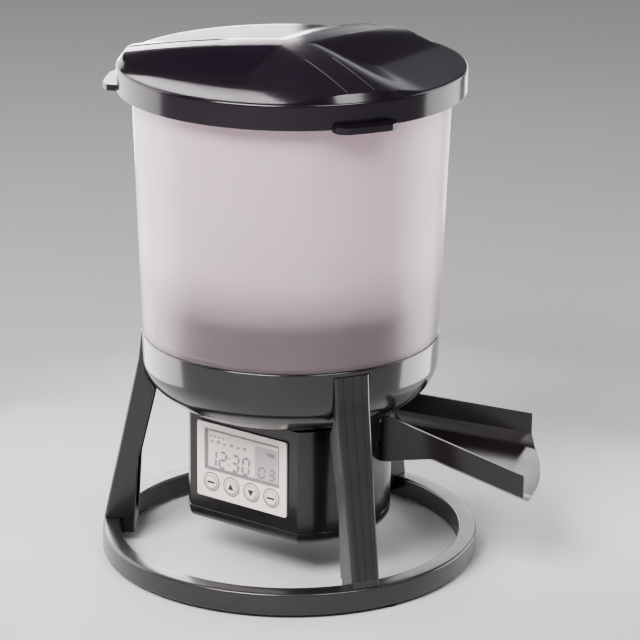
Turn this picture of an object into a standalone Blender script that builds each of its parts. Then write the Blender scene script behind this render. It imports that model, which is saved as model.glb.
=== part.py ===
"""Automatic pond fish feeder, modelled as separate pieces.

A clear six litre hopper under a three-ridged lid sits in a dark bowl on three channel legs and a
floor ring. A round control housing hangs under the bowl, with a keypad and display on its flat
front. Inside it a gearmotor turns one upright shaft that stirs and doses the feed and drives a
thrower wheel, which flings the feed out through a wide sloping chute between two of the legs.

The lengths below are millimetres on the feeder's own upright axis. The front panel faces -Y.
"""
import math

import bmesh
import bpy
from mathutils import Vector

MM = 0.001
GAP = 0.3                      # clearance between neighbouring pieces

# Floor ring and feet
RING_R = 130.0
RING_WIDTH = 12.5
RING_BOTTOM = 2.3
RING_TOP = 17.5
PAD_R = 5.0

# Bowl
BOWL_R = 101.5
BOWL_TOP = 160.0
BOWL_BOTTOM = 109.0
BOWL_FLAT_R = 55.0
BOWL_CURVE_TOP = 142.0
LEDGE_Z = 147.3
SPIGOT_R = 96.5                # bore that takes the hopper's spigot

# Hopper, funnel and lid
HOPPER_TOP = 338.3
HOPPER_WALL = 2.2
HOPPER_FOOT_R = 100.9
HOPPER_HEAD_R = 107.1
HOPPER_LIP_R = 112.0
FUNNEL_TOP = 194.0
THROAT_R = 20.2
THROAT_BOTTOM = 106.5
LID_R = 117.0
LID_SKIRT_BOTTOM = 328.0
LID_RIM_Z = 345.0
LID_RIDGE_RISE = 13.5
LID_WALL = 2.4

# Control housing
DRUM_R = 70.0
DRUM_WALL = 2.5
DRUM_TOP = 108.6
DRUM_SEAM = 36.3
DRUM_BOTTOM = 27.0
FACE_Y = -53.0                 # flat front of the housing

# Thrower housing and chute
CUP_R = 42.0
CUP_WALL = 2.0
CUP_FLOOR = 87.2
CUP_FLOOR_TOP = 89.6
CHUTE_TURN = 30.0              # chute direction, degrees from +X towards +Y
CHUTE_END = 164.0              # where its walls end, from the axis
CHUTE_ROOT_R = DRUM_R + 0.5
CHUTE_BULGE = 9.0              # the floor's middle reaches this much further
CHUTE_HALF = 63.5              # half width at the walls' end
CHUTE_APEX = 8.75              # its walls meet this far behind the axis
CHUTE_SLOPE = 0.27
CHUTE_TOP_AT_END = 83.0
CHUTE_WALL_H = 16.0
CHUTE_DROP = 6.0               # the floor lies this far below the walls
CHUTE_BAND = 12.0              # width of the sloping band beside the floor
CHUTE_WALL = 2.2

# Drive
SHAFT_R = 2.5
BORE_R = SHAFT_R + GAP
GEAR_TEETH = 36
PINION_TEETH = 12
MODULE = 1.0
PINION_X = -MODULE * (GEAR_TEETH + PINION_TEETH) / 2
BRACKET_Z = 70.0

# Front panel and keypad
PANEL_X = -0.5
PANEL_W = 76.0
PANEL_LOW = 46.0
PANEL_HIGH = 100.0
PANEL_T = 1.2
LCD_LOW = 65.5
LCD_HIGH = 96.0
LCD_W = 64.0
BUTTON_Z = 57.5
BUTTON_PITCH = 17.0
BUTTON_R = 5.75
BUTTON_NAMES = ("button_menu", "button_up", "button_down", "button_enter")

# The origin is the middle of the whole outline on the floor, so the upright axis stands beside it
CORNER_R = math.hypot(CHUTE_END, CHUTE_HALF)
TURN = math.radians(CHUTE_TURN)
CORNER = math.atan2(CHUTE_HALF, CHUTE_END)
FAR_X = CORNER_R * math.cos(TURN - CORNER)
FAR_Y = CORNER_R * math.sin(TURN + CORNER)
AXIS_X = -(FAR_X - RING_R) / 2
AXIS_Y = -(FAR_Y - RING_R) / 2

LEG_DIRECTIONS = {"leg_front_right": -30.0, "leg_rear": 90.0, "leg_front_left": 210.0}

# colour, roughness, metallic, alpha
FINISHES = {
    "black_plastic": ((0.045, 0.045, 0.050), 0.32, 0.0, 1.0),
    "lid_plastic": ((0.055, 0.048, 0.065), 0.25, 0.0, 1.0),
    "clear_plastic": ((0.78, 0.72, 0.72), 0.22, 0.0, 0.55),
    "inner_plastic": ((0.10, 0.10, 0.11), 0.45, 0.0, 1.0),
    "panel_film": ((0.86, 0.83, 0.80), 0.45, 0.0, 1.0),
    "key_plastic": ((0.80, 0.77, 0.74), 0.40, 0.0, 1.0),
    "display_glass": ((0.62, 0.56, 0.58), 0.10, 0.0, 1.0),
    "display_frame": ((0.30, 0.31, 0.32), 0.50, 0.0, 1.0),
    "board_green": ((0.04, 0.22, 0.09), 0.45, 0.0, 1.0),
    "rubber": ((0.02, 0.02, 0.02), 0.80, 0.0, 1.0),
    "steel": ((0.62, 0.62, 0.64), 0.28, 1.0, 1.0),
    "brass": ((0.70, 0.52, 0.24), 0.30, 1.0, 1.0),
    "gear_nylon": ((0.88, 0.86, 0.80), 0.45, 0.0, 1.0),
    "cell_wrap": ((0.10, 0.16, 0.30), 0.35, 0.2, 1.0),
}


# ---------------------------------------------------------------- scene helpers

def clear_scene():
    for obj in list(bpy.data.objects):
        bpy.data.objects.remove(obj, do_unlink=True)


def new_collection(name):
    collection = bpy.data.collections.new(name)
    bpy.context.scene.collection.children.link(collection)
    return collection


def finish_material(name):
    material = bpy.data.materials.get(name)
    if material is None:
        colour, roughness, metallic, alpha = FINISHES[name]
        material = bpy.data.materials.new(name)
        material.use_nodes = True
        shader = material.node_tree.nodes["Principled BSDF"]
        shader.inputs["Base Color"].default_value = (*colour, 1.0)
        shader.inputs["Roughness"].default_value = roughness
        shader.inputs["Metallic"].default_value = metallic
        shader.inputs["Alpha"].default_value = alpha
        material.diffuse_color = (*colour, alpha)
    return material


def empty(name, parent=None, location=(0, 0, 0), turn=0.0):
    obj = bpy.data.objects.new(name, None)
    PARTS.objects.link(obj)
    obj.parent = parent
    obj.location = Vector(location) * MM
    obj.rotation_euler.z = math.radians(turn)
    return obj


def place(obj, finish, parent, at=(0, 0, 0), turn=(0, 0, 0)):
    """Link a finished piece, or a cutter when it has no finish."""
    if finish is None:
        CUTTERS.objects.link(obj)
        obj.hide_render = True
        obj.display_type = "WIRE"
    else:
        PARTS.objects.link(obj)
        obj.data.materials.append(finish_material(finish))
    obj.parent = parent
    obj.location = Vector(at) * MM
    obj.rotation_euler = [math.radians(angle) for angle in turn]
    return obj


def mesh_object(name, bm):
    bmesh.ops.recalc_face_normals(bm, faces=bm.faces)
    mesh = bpy.data.meshes.new(name)
    bm.to_mesh(mesh)
    bm.free()
    return bpy.data.objects.new(name, mesh)


def smooth(obj, angle=35.0):
    obj.data.shade_smooth()
    obj.data.set_sharp_from_angle(angle=math.radians(angle))
    return obj


# ---------------------------------------------------------------- shape helpers

def turned(name, profile, steps, finish, parent, at=(0, 0, 0), turn=(0, 0, 0), closed=True):
    """Turn a profile of (radius, height) about Z. It runs down its outer side."""
    mesh = bpy.data.meshes.new(name)
    points = [(radius * MM, 0.0, height * MM) for radius, height in profile]
    edges = [(i, i + 1) for i in range(len(points) - 1)]
    if closed:
        edges.append((len(points) - 1, 0))
    mesh.from_pydata(points, edges, [])
    obj = bpy.data.objects.new(name, mesh)
    screw = obj.modifiers.new("turn", "SCREW")
    screw.axis = "Z"
    screw.steps = steps
    screw.render_steps = steps
    screw.use_merge_vertices = True
    screw.merge_threshold = 0.00001
    screw.use_smooth_shade = steps > 16
    return place(obj, finish, parent, at, turn)


def pin(name, stations, steps, finish, parent, at=(0, 0, 0), turn=(0, 0, 0)):
    """A solid of revolution from (radius, height) stations, listed from the top down."""
    profile = [(0.0, stations[0][1]), *stations, (0.0, stations[-1][1])]
    return turned(name, profile, steps, finish, parent, at, turn, closed=False)


def block(name, low, high, finish, parent, bevel=0.0, turn=(0, 0, 0)):
    """A box between two corners, with its edges rounded by bevel."""
    bm = bmesh.new()
    bmesh.ops.create_cube(bm, size=1.0)
    size = [(h - l) * MM for l, h in zip(low, high)]
    bmesh.ops.scale(bm, vec=size, verts=bm.verts)
    middle = [(h + l) / 2 * MM for l, h in zip(low, high)]
    bmesh.ops.translate(bm, vec=middle, verts=bm.verts)
    obj = mesh_object(name, bm)
    if bevel:
        rounding = obj.modifiers.new("edges", "BEVEL")
        rounding.width = bevel * MM
        rounding.segments = 2
    return place(obj, finish, parent, turn=turn)


def prism(name, outline, low, high, finish, parent, turn=(0, 0, 0), at=(0, 0, 0)):
    """A flat outline of (x, y) raised from one height to another."""
    bm = bmesh.new()
    base = bm.faces.new([bm.verts.new((x * MM, y * MM, low * MM)) for x, y in outline])
    raised = bmesh.ops.extrude_face_region(bm, geom=[base])["geom"]
    lift = [item for item in raised if isinstance(item, bmesh.types.BMVert)]
    bmesh.ops.translate(bm, vec=(0, 0, (high - low) * MM), verts=lift)
    return place(mesh_object(name, bm), finish, parent, at, turn)


def loft(name, sections, finish, parent):
    """Join closed sections of equal point count, each a list of (x, y, z)."""
    bm = bmesh.new()
    rings = [[bm.verts.new(Vector(point) * MM) for point in section] for section in sections]
    for lower, upper in zip(rings, rings[1:]):
        for i in range(len(lower)):
            j = (i + 1) % len(lower)
            bm.faces.new((lower[i], lower[j], upper[j], upper[i]))
    bm.faces.new(rings[0][::-1])
    bm.faces.new(rings[-1])
    return place(mesh_object(name, bm), finish, parent)


def combine(obj, tool, operation="DIFFERENCE"):
    modifier = obj.modifiers.new(operation.lower(), "BOOLEAN")
    modifier.operation = operation
    modifier.solver = "EXACT"
    modifier.object = tool


def drill(obj, name, radius, low, high, parent, at, turn=(0, 0, 0), steps=16, sink=None):
    """Cut a round hole, with a wider sink of (radius, top) from its lower end if one is given."""
    stations = [(radius, high), (radius, low)]
    if sink:
        sink_radius, sink_top = sink
        stations = [(radius, high), (radius, sink_top), (sink_radius, sink_top), (sink_radius, low)]
    tool = pin(name, stations, steps, None, parent, at, turn)
    combine(obj, tool)


def arc(radius, start, end, count):
    angles = [start + (end - start) * i / (count - 1) for i in range(count)]
    return [(radius * math.cos(a), radius * math.sin(a)) for a in angles]


def drum_outline(inset, count=40):
    """The housing's plan: a circle with a flat front, moved in by inset."""
    radius = DRUM_R - inset
    chord = FACE_Y + inset
    start = math.asin(chord / radius)
    return arc(radius, start, math.pi - start, count)


def polar(radius, degrees):
    return radius * math.cos(math.radians(degrees)), radius * math.sin(math.radians(degrees))


# ---------------------------------------------------------------- floor ring and legs

def make_ring():
    inner = RING_R - RING_WIDTH
    chamfer = 1.5
    profile = [
        (inner + chamfer, RING_TOP), (RING_R - chamfer, RING_TOP), (RING_R, RING_TOP - chamfer),
        (RING_R, RING_BOTTOM + chamfer), (RING_R - chamfer, RING_BOTTOM), (inner, RING_BOTTOM),
        (inner, RING_TOP - chamfer)]
    ring = turned("base_ring", profile, 60, "black_plastic", AXIS)
    middle = RING_R - RING_WIDTH / 2
    for number, direction in enumerate(LEG_DIRECTIONS.values(), 1):
        spot = (*polar(middle, direction), 0)
        drill(ring, f"ring_hole_{number}", 1.9, 0, 25, AXIS, spot, sink=(3.6, 5.6))
        pin(f"ring_screw_{number}", [(1.5, 21.0), (1.5, 5.3), (3.2, 5.3), (3.2, 3.2)], 12, "steel",
            AXIS, spot)
        pad = (*polar(middle, direction + 9.0), 0)
        pin(f"foot_pad_{number}", [(PAD_R - 0.4, RING_BOTTOM - GAP), (PAD_R, 1.2), (PAD_R, 0.0)],
            20, "rubber", AXIS, pad)


def leg_section(height, outer, inner, width, wall=2.6):
    """A channel open towards the axis: (height, outer radius, inner radius, width)."""
    half = width / 2
    return [
        (outer, -half, height), (outer, half, height), (inner, half, height),
        (inner, half - wall, height), (outer - wall, half - wall, height),
        (outer - wall, wall - half, height), (inner, wall - half, height),
        (inner, -half, height)]


def make_legs():
    sections = [
        leg_section(RING_TOP + GAP, 129.4, 107.6, 19.5),
        leg_section(62.0, 120.0, 105.0, 21.0),
        leg_section(114.0, 108.9, 92.9, 23.6),
        leg_section(126.0, 106.4, 98.9, 24.2),
        leg_section(137.0, 104.2, 98.9, 24.6),
        leg_section(156.6, 102.1, 98.9, 25.2)]
    for name, direction in LEG_DIRECTIONS.items():
        holder = empty(f"{name}_place", AXIS, turn=direction)
        leg = loft(name, sections, "black_plastic", holder)
        foot = block(f"{name}_foot", (108.2, -9.2, 18.2), (128.7, 9.2, 22.4), None, holder)
        hook = block(f"{name}_hook", (107.9, -9.0, 7.0), (116.7, 9.0, 20.0), None, holder)
        combine(leg, foot, "UNION")
        combine(leg, hook, "UNION")
        middle = RING_R - RING_WIDTH / 2
        drill(leg, f"{name}_thread", 1.8, 15.0, 21.3, holder, (middle, 0, 0))


# ---------------------------------------------------------------- bowl, funnel, hopper

def bowl_curve(wide, deep, count=6):
    """Quarter ellipse from the side down to the bowl's flat bottom."""
    angles = [math.pi / 2 * i / (count - 1) for i in range(count)]
    return [(BOWL_FLAT_R + wide * math.cos(a), BOWL_CURVE_TOP - deep * math.sin(a)) for a in angles]


def make_bowl():
    outlet = 24.0
    floor = 2.6
    outer = bowl_curve(BOWL_R - 0.4 - BOWL_FLAT_R, BOWL_CURVE_TOP - BOWL_BOTTOM)
    inner = bowl_curve(92.5 - BOWL_FLAT_R, BOWL_CURVE_TOP - BOWL_BOTTOM - floor)
    profile = [(SPIGOT_R, BOWL_TOP), (BOWL_R - 0.8, BOWL_TOP), (BOWL_R, BOWL_TOP - 0.8), *outer,
               (outlet, BOWL_BOTTOM), (outlet, BOWL_BOTTOM + floor), *inner[::-1],
               (92.5, LEDGE_Z), (SPIGOT_R, LEDGE_Z)]
    bowl = turned("base_bowl", profile, 48, "black_plastic", AXIS)
    for name, direction in LEG_DIRECTIONS.items():
        holder = bpy.data.objects[f"{name}_place"]
        pocket = block(f"{name}_pocket", (98.6, -13.0, 100.0), (112.0, 13.0, 157.0), None, holder)
        combine(bowl, pocket)


def make_funnel():
    seam = 118.5
    profile = [(96.6, FUNNEL_TOP), (98.9, FUNNEL_TOP), (98.9, FUNNEL_TOP - 3.0),
               (THROAT_R + 2.0, seam), (THROAT_R, seam), (THROAT_R, seam + 0.9)]
    funnel = turned("funnel", profile, 48, "inner_plastic", AXIS)
    rib = [(44.0, 140.5), (91.5, 186.0), (91.5, 149.0), (84.0, 127.5), (62.0, 113.9), (44.0, 113.9)]
    for number in range(6):
        holder = empty(f"funnel_rib_place_{number}", AXIS, turn=60.0 * number + 15.0)
        tool = prism(f"funnel_rib_{number}", rib, -1.1, 1.1, None, holder, turn=(90, 0, 0))
        combine(funnel, tool, "UNION")
    # Separate outlet tube, with a collar that stands on the bowl's floor.
    outer, collar = THROAT_R + 2.0, THROAT_R + 6.8
    turned("funnel_spout", [
        (THROAT_R, seam - 0.2), (outer, seam - 0.2), (outer, 113.4), (collar, 113.4),
        (collar, 111.8), (outer, 111.8), (outer, THROAT_BOTTOM), (THROAT_R, THROAT_BOTTOM)],
        48, "inner_plastic", AXIS)


def make_hopper():
    wall = HOPPER_WALL
    profile = [
        (HOPPER_HEAD_R - wall, HOPPER_TOP), (HOPPER_LIP_R, HOPPER_TOP),
        (HOPPER_LIP_R, HOPPER_TOP - 2.0), (HOPPER_HEAD_R, HOPPER_TOP - 2.0),
        (HOPPER_FOOT_R, BOWL_TOP + GAP), (SPIGOT_R - GAP, BOWL_TOP + GAP),
        (SPIGOT_R - GAP, LEDGE_Z + 2.7), (SPIGOT_R - GAP - wall, LEDGE_Z + 2.7),
        (SPIGOT_R - GAP - wall, BOWL_TOP + 2.6), (HOPPER_FOOT_R - wall, BOWL_TOP + 2.6)]
    turned("hopper", profile, 48, "clear_plastic", AXIS)
    low, high = LEDGE_Z + GAP, LEDGE_Z + 2.4
    turned("hopper_seal", [(93.0, high), (96.1, high), (96.1, low), (93.0, low)], 32, "rubber", AXIS)


# ---------------------------------------------------------------- lid

def lid_height(radius, angle):
    """Three flat-topped ridges over the legs, with a hollow scooped out between each pair."""
    ridge_half, scoop_width = 9.0, 42.0
    offset = min(abs((angle - math.radians(d) + math.pi) % (2 * math.pi) - math.pi)
                 for d in LEG_DIRECTIONS.values())
    across = radius * math.sin(min(offset, math.pi / 2))
    t = min(max((across - ridge_half) / scoop_width, 0.0), 1.0)
    ridge = 1.0 - t * t * (3.0 - 2.0 * t)
    fall = (radius / 112.0) ** 2
    crest = LID_RIM_Z + LID_RIDGE_RISE - 8.5 * fall
    hollow = LID_RIM_Z - 1.0 + 1.0 * fall
    return hollow + (crest - hollow) * ridge


def make_lid():
    count = 48
    radii = [18.0, 38.0, 58.0, 80.0, 100.0, 111.0]
    rim = [(115.2, LID_RIM_Z - 0.4), (LID_R, LID_RIM_Z - 3.0), (LID_R - 0.4, LID_SKIRT_BOTTOM)]
    bm = bmesh.new()
    rings = []
    for radius in radii:
        angles = [2 * math.pi * i / count for i in range(count)]
        rings.append([bm.verts.new(Vector((radius * math.cos(a), radius * math.sin(a),
                                           lid_height(radius, a))) * MM) for a in angles])
    for radius, height in rim:
        rings.append([bm.verts.new(Vector((x, y, height)) * MM)
                      for x, y in (polar(radius, 360.0 * i / count) for i in range(count))])
    centre = bm.verts.new(Vector((0, 0, lid_height(0.0, 0.0))) * MM)
    for i in range(count):
        j = (i + 1) % count
        bm.faces.new((centre, rings[0][i], rings[0][j]))
        for inner, outer in zip(rings, rings[1:]):
            bm.faces.new((inner[i], outer[i], outer[j], inner[j]))
    lid = mesh_object("lid", bm)
    shell = lid.modifiers.new("wall", "SOLIDIFY")
    shell.thickness = LID_WALL * MM
    shell.offset = -1.0
    place(smooth(lid), "lid_plastic", AXIS)
    for name, direction in LEG_DIRECTIONS.items():
        holder = bpy.data.objects[f"{name}_place"]
        outline = [(115.6, -22.0), (121.5, -21.0), (125.0, -17.0), (125.6, 0.0), (125.0, 17.0),
                   (121.5, 21.0), (115.6, 22.0)]
        tab = prism(f"{name}_lid_tab", outline, LID_SKIRT_BOTTOM - 1.2, LID_SKIRT_BOTTOM + 3.0,
                    None, holder)
        combine(lid, tab, "UNION")
    low, high = HOPPER_TOP + GAP, HOPPER_TOP + 3.3
    turned("lid_seal", [(106.2, high), (111.6, high), (111.6, low), (106.2, low)], 36, "rubber", AXIS)


# ---------------------------------------------------------------- control housing

CHUTE_FLARE = CHUTE_HALF / (CHUTE_END + CHUTE_APEX)


def chute_half(reach):
    return CHUTE_FLARE * (reach + CHUTE_APEX)


def reach_at(radius, flare, spare=0.0):
    """Reach at which a wall line, flare * (reach + apex) + spare aside, meets a circle."""
    base = flare * CHUTE_APEX + spare
    root = (flare * base) ** 2 - (1 + flare ** 2) * (base ** 2 - radius ** 2)
    return (math.sqrt(root) - flare * base) / (1 + flare ** 2)


def wedge(start, radius, spare):
    """Plan of the feed's way out to a circle about the axis, widened by spare."""
    half = chute_half(start) + spare
    edge = math.acos(reach_at(radius, CHUTE_FLARE, spare) / radius)
    return [(start, -half), *arc(radius, -edge, edge, 9), (start, half)]


SCREW_SPOTS = [(54.0, 28.0), (-54.0, 28.0), (54.0, -28.0), (-54.0, -28.0)]


def make_control_housing():
    housing = prism("control_housing", drum_outline(0.0), DRUM_SEAM, DRUM_TOP, "black_plastic", AXIS)
    hollow = prism("housing_hollow", drum_outline(DRUM_WALL), 20.0, 130.0, None, AXIS)
    combine(housing, hollow)
    for number, (x, y) in enumerate(SCREW_SPOTS, 1):
        pillar = pin(f"pillar_{number}", [(4.5, 70.0), (4.5, DRUM_SEAM + 0.5)], 14, None, AXIS,
                     (x, y, 0))
        web_turn = math.degrees(math.atan2(y, x))
        web = block(f"pillar_web_{number}", (60.0, -1.5, DRUM_SEAM + 1.0), (68.6, 1.5, 69.0), None,
                    AXIS, turn=(0, 0, web_turn))
        combine(housing, pillar, "UNION")
        combine(housing, web, "UNION")
        drill(housing, f"pillar_bore_{number}", 1.8, 20.0, 50.0, AXIS, (x, y, 0), steps=12)
    window = prism("chute_window", wedge(50.0, 84.0, CHUTE_WALL + GAP), CUP_FLOOR - GAP, 105.4,
                   None, CHUTE)
    combine(housing, window)
    half = LCD_W / 2 - 2.0
    opening = block("display_opening", (PANEL_X - half, -60.0, LCD_LOW + 2.0),
                    (PANEL_X + half, -45.0, LCD_HIGH - 2.0), None, AXIS)
    combine(housing, opening)
    for name, x in zip(BUTTON_NAMES, button_places()):
        drill(housing, f"{name}_hole", BUTTON_R + GAP, 40.0, 60.0, AXIS, (x, 0, BUTTON_Z),
              turn=(90, 0, 0), steps=20)
    for number, side in enumerate((-12.0, 12.0), 1):
        drill(housing, f"chute_thread_{number}", 1.8, 60.0, 75.0, CHUTE, (0, side, 79.0),
              turn=(0, 90, 0), steps=12)


def make_base_cover():
    """Round-edged dish that closes the housing from below, with the battery opening in it."""
    rounding = 5.0
    steps = [(rounding * (1 - math.sin(t)), rounding * (1 - math.cos(t)))
             for t in (math.pi / 2 * i / 3 for i in range(4))]
    sections = [[(x, y, DRUM_BOTTOM + rise) for x, y in drum_outline(inset)]
                for inset, rise in steps]
    sections.append([(x, y, DRUM_SEAM - GAP) for x, y in drum_outline(0.0)])
    cover = loft("base_cover", sections, "black_plastic", AXIS)
    hollow = prism("cover_hollow", drum_outline(rounding + 0.3), DRUM_BOTTOM + 2.5, 50.0, None,
                   AXIS)
    combine(cover, hollow)
    for number, (x, y) in enumerate(SCREW_SPOTS, 1):
        spot = (x, y, 0)
        boss = pin(f"cover_boss_{number}", [(5.2, DRUM_SEAM - 0.6), (5.2, DRUM_BOTTOM + 0.6)], 14,
                   None, AXIS, spot)
        combine(cover, boss, "UNION")
        drill(cover, f"cover_hole_{number}", 1.8, 20.0, 45.0, AXIS, spot, steps=14, sink=(3.6, 31.0))
        pin(f"cover_screw_{number}", [(1.5, 48.0), (1.5, 30.7), (3.2, 30.7), (3.2, 28.4)], 12,
            "steel", AXIS, spot)
    opening = block("battery_opening", (-29.4, 24.0, 20.0), (29.4, 53.0, 35.0), None, AXIS)
    combine(cover, opening)
    block("battery_door", (-29.0, 24.4, DRUM_BOTTOM + 0.2), (29.0, 52.6, DRUM_BOTTOM + 2.4),
          "black_plastic", AXIS)


def make_batteries():
    tray = block("battery_tray", (-30.0, 22.6, 31.0), (30.0, 56.6, 64.0), "inner_plastic", AXIS)
    inside = block("tray_hollow", (-28.4, 24.2, 25.0), (28.4, 55.0, 62.4), None, AXIS)
    combine(tray, inside)
    cells = [(y, z) for z in (39.0, 54.6) for y in (31.9, 47.3)]
    for number, (y, z) in enumerate(cells, 1):
        stations = [(2.7, 24.4), (2.7, 23.3), (7.1, 23.2), (7.1, -24.4)]
        facing = 90 if number % 2 else -90
        pin(f"battery_{number}", stations, 16, "cell_wrap", AXIS, (0, y, z), turn=(0, facing, 0))
    for number, side in enumerate((-1, 1), 1):
        low, high = sorted((side * 25.6, side * 26.1))
        block(f"battery_contact_{number}", (low, 25.5, 34.0), (high, 53.7, 61.0), "steel", AXIS)


# ---------------------------------------------------------------- front panel

def button_places():
    return [PANEL_X + BUTTON_PITCH * (number - 1.5) for number in range(4)]


def make_front_panel():
    back = FACE_Y - 0.4
    half = PANEL_W / 2
    panel = block("front_panel", (PANEL_X - half, back - PANEL_T, PANEL_LOW),
                  (PANEL_X + half, back, PANEL_HIGH), "panel_film", AXIS)
    lcd = LCD_W / 2
    opening = block("window_opening", (PANEL_X - lcd, -60.0, LCD_LOW),
                    (PANEL_X + lcd, -45.0, LCD_HIGH), None, AXIS)
    combine(panel, opening)
    block("lcd_window", (PANEL_X - lcd + GAP, back - PANEL_T + 0.1, LCD_LOW + GAP),
          (PANEL_X + lcd - GAP, back, LCD_HIGH - GAP), "display_glass", AXIS)
    block("lcd_module", (PANEL_X - lcd - 0.5, -50.1, LCD_LOW), (PANEL_X + lcd + 0.5, -47.0, 97.0),
          "display_frame", AXIS)
    board = block("circuit_board", (-37.5, -45.8, 42.0), (37.5, -44.2, 100.0), "board_green", AXIS)
    for name, x in zip(BUTTON_NAMES, button_places()):
        drill(panel, f"{name}_panel_hole", BUTTON_R + GAP, 45.0, 60.0, AXIS, (x, 0, BUTTON_Z),
              turn=(90, 0, 0), steps=20)
        switch = block(f"{name}_switch", (x - 3.0, -47.0, BUTTON_Z - 3.0),
                       (x + 3.0, -45.0, BUTTON_Z + 3.0), None, AXIS)
        combine(board, switch, "UNION")
        stations = [(BUTTON_R - 0.5, 55.5), (BUTTON_R, 55.0), (BUTTON_R, 50.2), (7.0, 50.2),
                    (7.0, 49.2), (2.0, 49.2), (2.0, 48.2)]
        pin(name, stations, 16, "key_plastic", AXIS, (x, 0, BUTTON_Z), turn=(90, 0, 0))


# ---------------------------------------------------------------- drive and thrower

def gear_outline(teeth, first):
    """Slim straight-sided teeth with plenty of backlash."""
    root = MODULE * (teeth / 2 - 1.2)
    tip = MODULE * (teeth / 2 + 0.8)
    pitch = 360.0 / teeth
    points = []
    for number in range(teeth):
        middle = first + number * pitch
        points += [polar(root, middle - 0.28 * pitch), polar(tip, middle - 0.11 * pitch),
                   polar(tip, middle + 0.11 * pitch), polar(root, middle + 0.28 * pitch)]
    return points


def make_thrower_housing():
    cup = pin("thrower_housing", [(CUP_R, DRUM_TOP), (CUP_R, CUP_FLOOR)], 48, "inner_plastic", AXIS)
    duct = prism("duct_outside", wedge(31.0, 69.5, CHUTE_WALL), CUP_FLOOR + 0.2, 105.0, None, CHUTE)
    inside = prism("duct_inside", wedge(22.0, 75.0, 0.0), CUP_FLOOR_TOP + 0.2, 102.8, None, CHUTE)
    combine(cup, duct, "UNION")
    chamber = pin("cup_hollow", [(CUP_R - CUP_WALL, 130.0), (CUP_R - CUP_WALL, CUP_FLOOR_TOP)], 45,
                  None, AXIS, turn=(0, 0, 1.3))
    combine(chamber, inside, "UNION")
    combine(cup, chamber)
    drill(cup, "cup_bush_hole", 5.0, 80.0, 95.0, AXIS, (0, 0, 0))


def make_drive():
    pin("drive_shaft", [(SHAFT_R, 149.0), (SHAFT_R, BRACKET_Z)], 16, "steel", AXIS)
    bush = [(BORE_R, CUP_FLOOR_TOP + 0.6), (4.7, CUP_FLOOR_TOP + 0.6), (4.7, CUP_FLOOR - GAP),
            (6.5, CUP_FLOOR - GAP), (6.5, CUP_FLOOR - 2.0), (BORE_R, CUP_FLOOR - 2.0)]
    turned("upper_bush", bush, 20, "brass", AXIS)
    low = BRACKET_Z
    cup = [(BORE_R, low + 3.8), (6.5, low + 3.8), (6.5, low + 2.3), (4.7, low + 2.3),
           (4.7, low - 1.5), (0.0, low - 1.5)]
    turned("lower_bush", [(0.0, low - GAP), (BORE_R, low - GAP), *cup], 20, "brass", AXIS,
           closed=False)
    gear = prism("drive_gear", gear_outline(GEAR_TEETH, 0.0), 77.0, 83.0, "gear_nylon", AXIS)
    drill(gear, "gear_bore", BORE_R, 70.0, 90.0, AXIS, (0, 0, 0))
    pinion_turn = 180.0 / PINION_TEETH
    pinion = prism("motor_pinion", gear_outline(PINION_TEETH, pinion_turn), 76.5, 83.5, "brass",
                   AXIS, at=(PINION_X, 0, 0))
    hub = pin("pinion_hub", [(3.0, 80.0), (3.0, 74.4)], 16, None, AXIS, (PINION_X, 0, 0))
    combine(pinion, hub, "UNION")
    pin("gearmotor", [(4.0, 74.0), (4.0, 69.8), (13.4, 69.7), (13.4, 41.0), (12.4, 40.0)], 20,
        "steel", AXIS, (PINION_X, 0, 0))


def make_motor_bracket():
    plate = block("motor_bracket", (-46.0, -33.0, BRACKET_Z), (27.0, 19.5, BRACKET_Z + 2.0),
                  "inner_plastic", AXIS)
    for number, (x, y) in enumerate(((22.0, -15.0), (-9.0, -28.5), (-33.0, 15.5)), 1):
        post = pin(f"bracket_post_{number}", [(3.2, CUP_FLOOR - GAP), (3.2, BRACKET_Z + 0.6)], 12,
                   None, AXIS, (x, y, 0))
        combine(plate, post, "UNION")
    drill(plate, "bracket_bush_hole", 5.0, 60.0, 80.0, AXIS, (0, 0, 0))
    drill(plate, "bracket_motor_hole", 4.4, 60.0, 80.0, AXIS, (PINION_X, 0, 0))


def make_thrower():
    wheel = pin("thrower_wheel", [(6.0, 104.0), (6.0, 93.2), (37.0, 92.9), (37.0, 91.3)], 36,
                "gear_nylon", AXIS)
    for number in range(3):
        vane = block(f"vane_pair_{number}", (-35.5, -0.9, 92.0), (35.5, 0.9, 102.5), None, AXIS,
                     turn=(0, 0, 60.0 * number + 10.0))
        combine(wheel, vane, "UNION")
    drill(wheel, "wheel_bore", BORE_R, 85.0, 110.0, AXIS, (0, 0, 0))


def make_dosing():
    disc = pin("dosing_disc", [(THROAT_R - 0.5, 110.4), (THROAT_R - 0.5, 108.0)], 32, "gear_nylon",
               AXIS)
    for number in range(4):
        spot = (*polar(13.0, 90.0 * number + 45.0), 0)
        drill(disc, f"dose_pocket_{number}", 3.6, 100.0, 120.0, AXIS, spot, steps=14)
    drill(disc, "disc_bore", BORE_R, 100.0, 120.0, AXIS, (0, 0, 0))
    stirrer = pin("stirrer", [(4.0, 152.0), (5.6, 149.0), (5.6, 111.0)], 16, "inner_plastic", AXIS)
    low_arm = block("stirrer_low_arm", (-24.0, -2.0, 127.0), (24.0, 2.0, 131.0), None, AXIS)
    high_arm = block("stirrer_high_arm", (-2.0, -37.0, 142.0), (2.0, 37.0, 146.0), None, AXIS)
    combine(stirrer, low_arm, "UNION")
    combine(stirrer, high_arm, "UNION")
    drill(stirrer, "stirrer_bore", BORE_R, 100.0, 149.3, AXIS, (0, 0, 0))


# ---------------------------------------------------------------- chute

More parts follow.
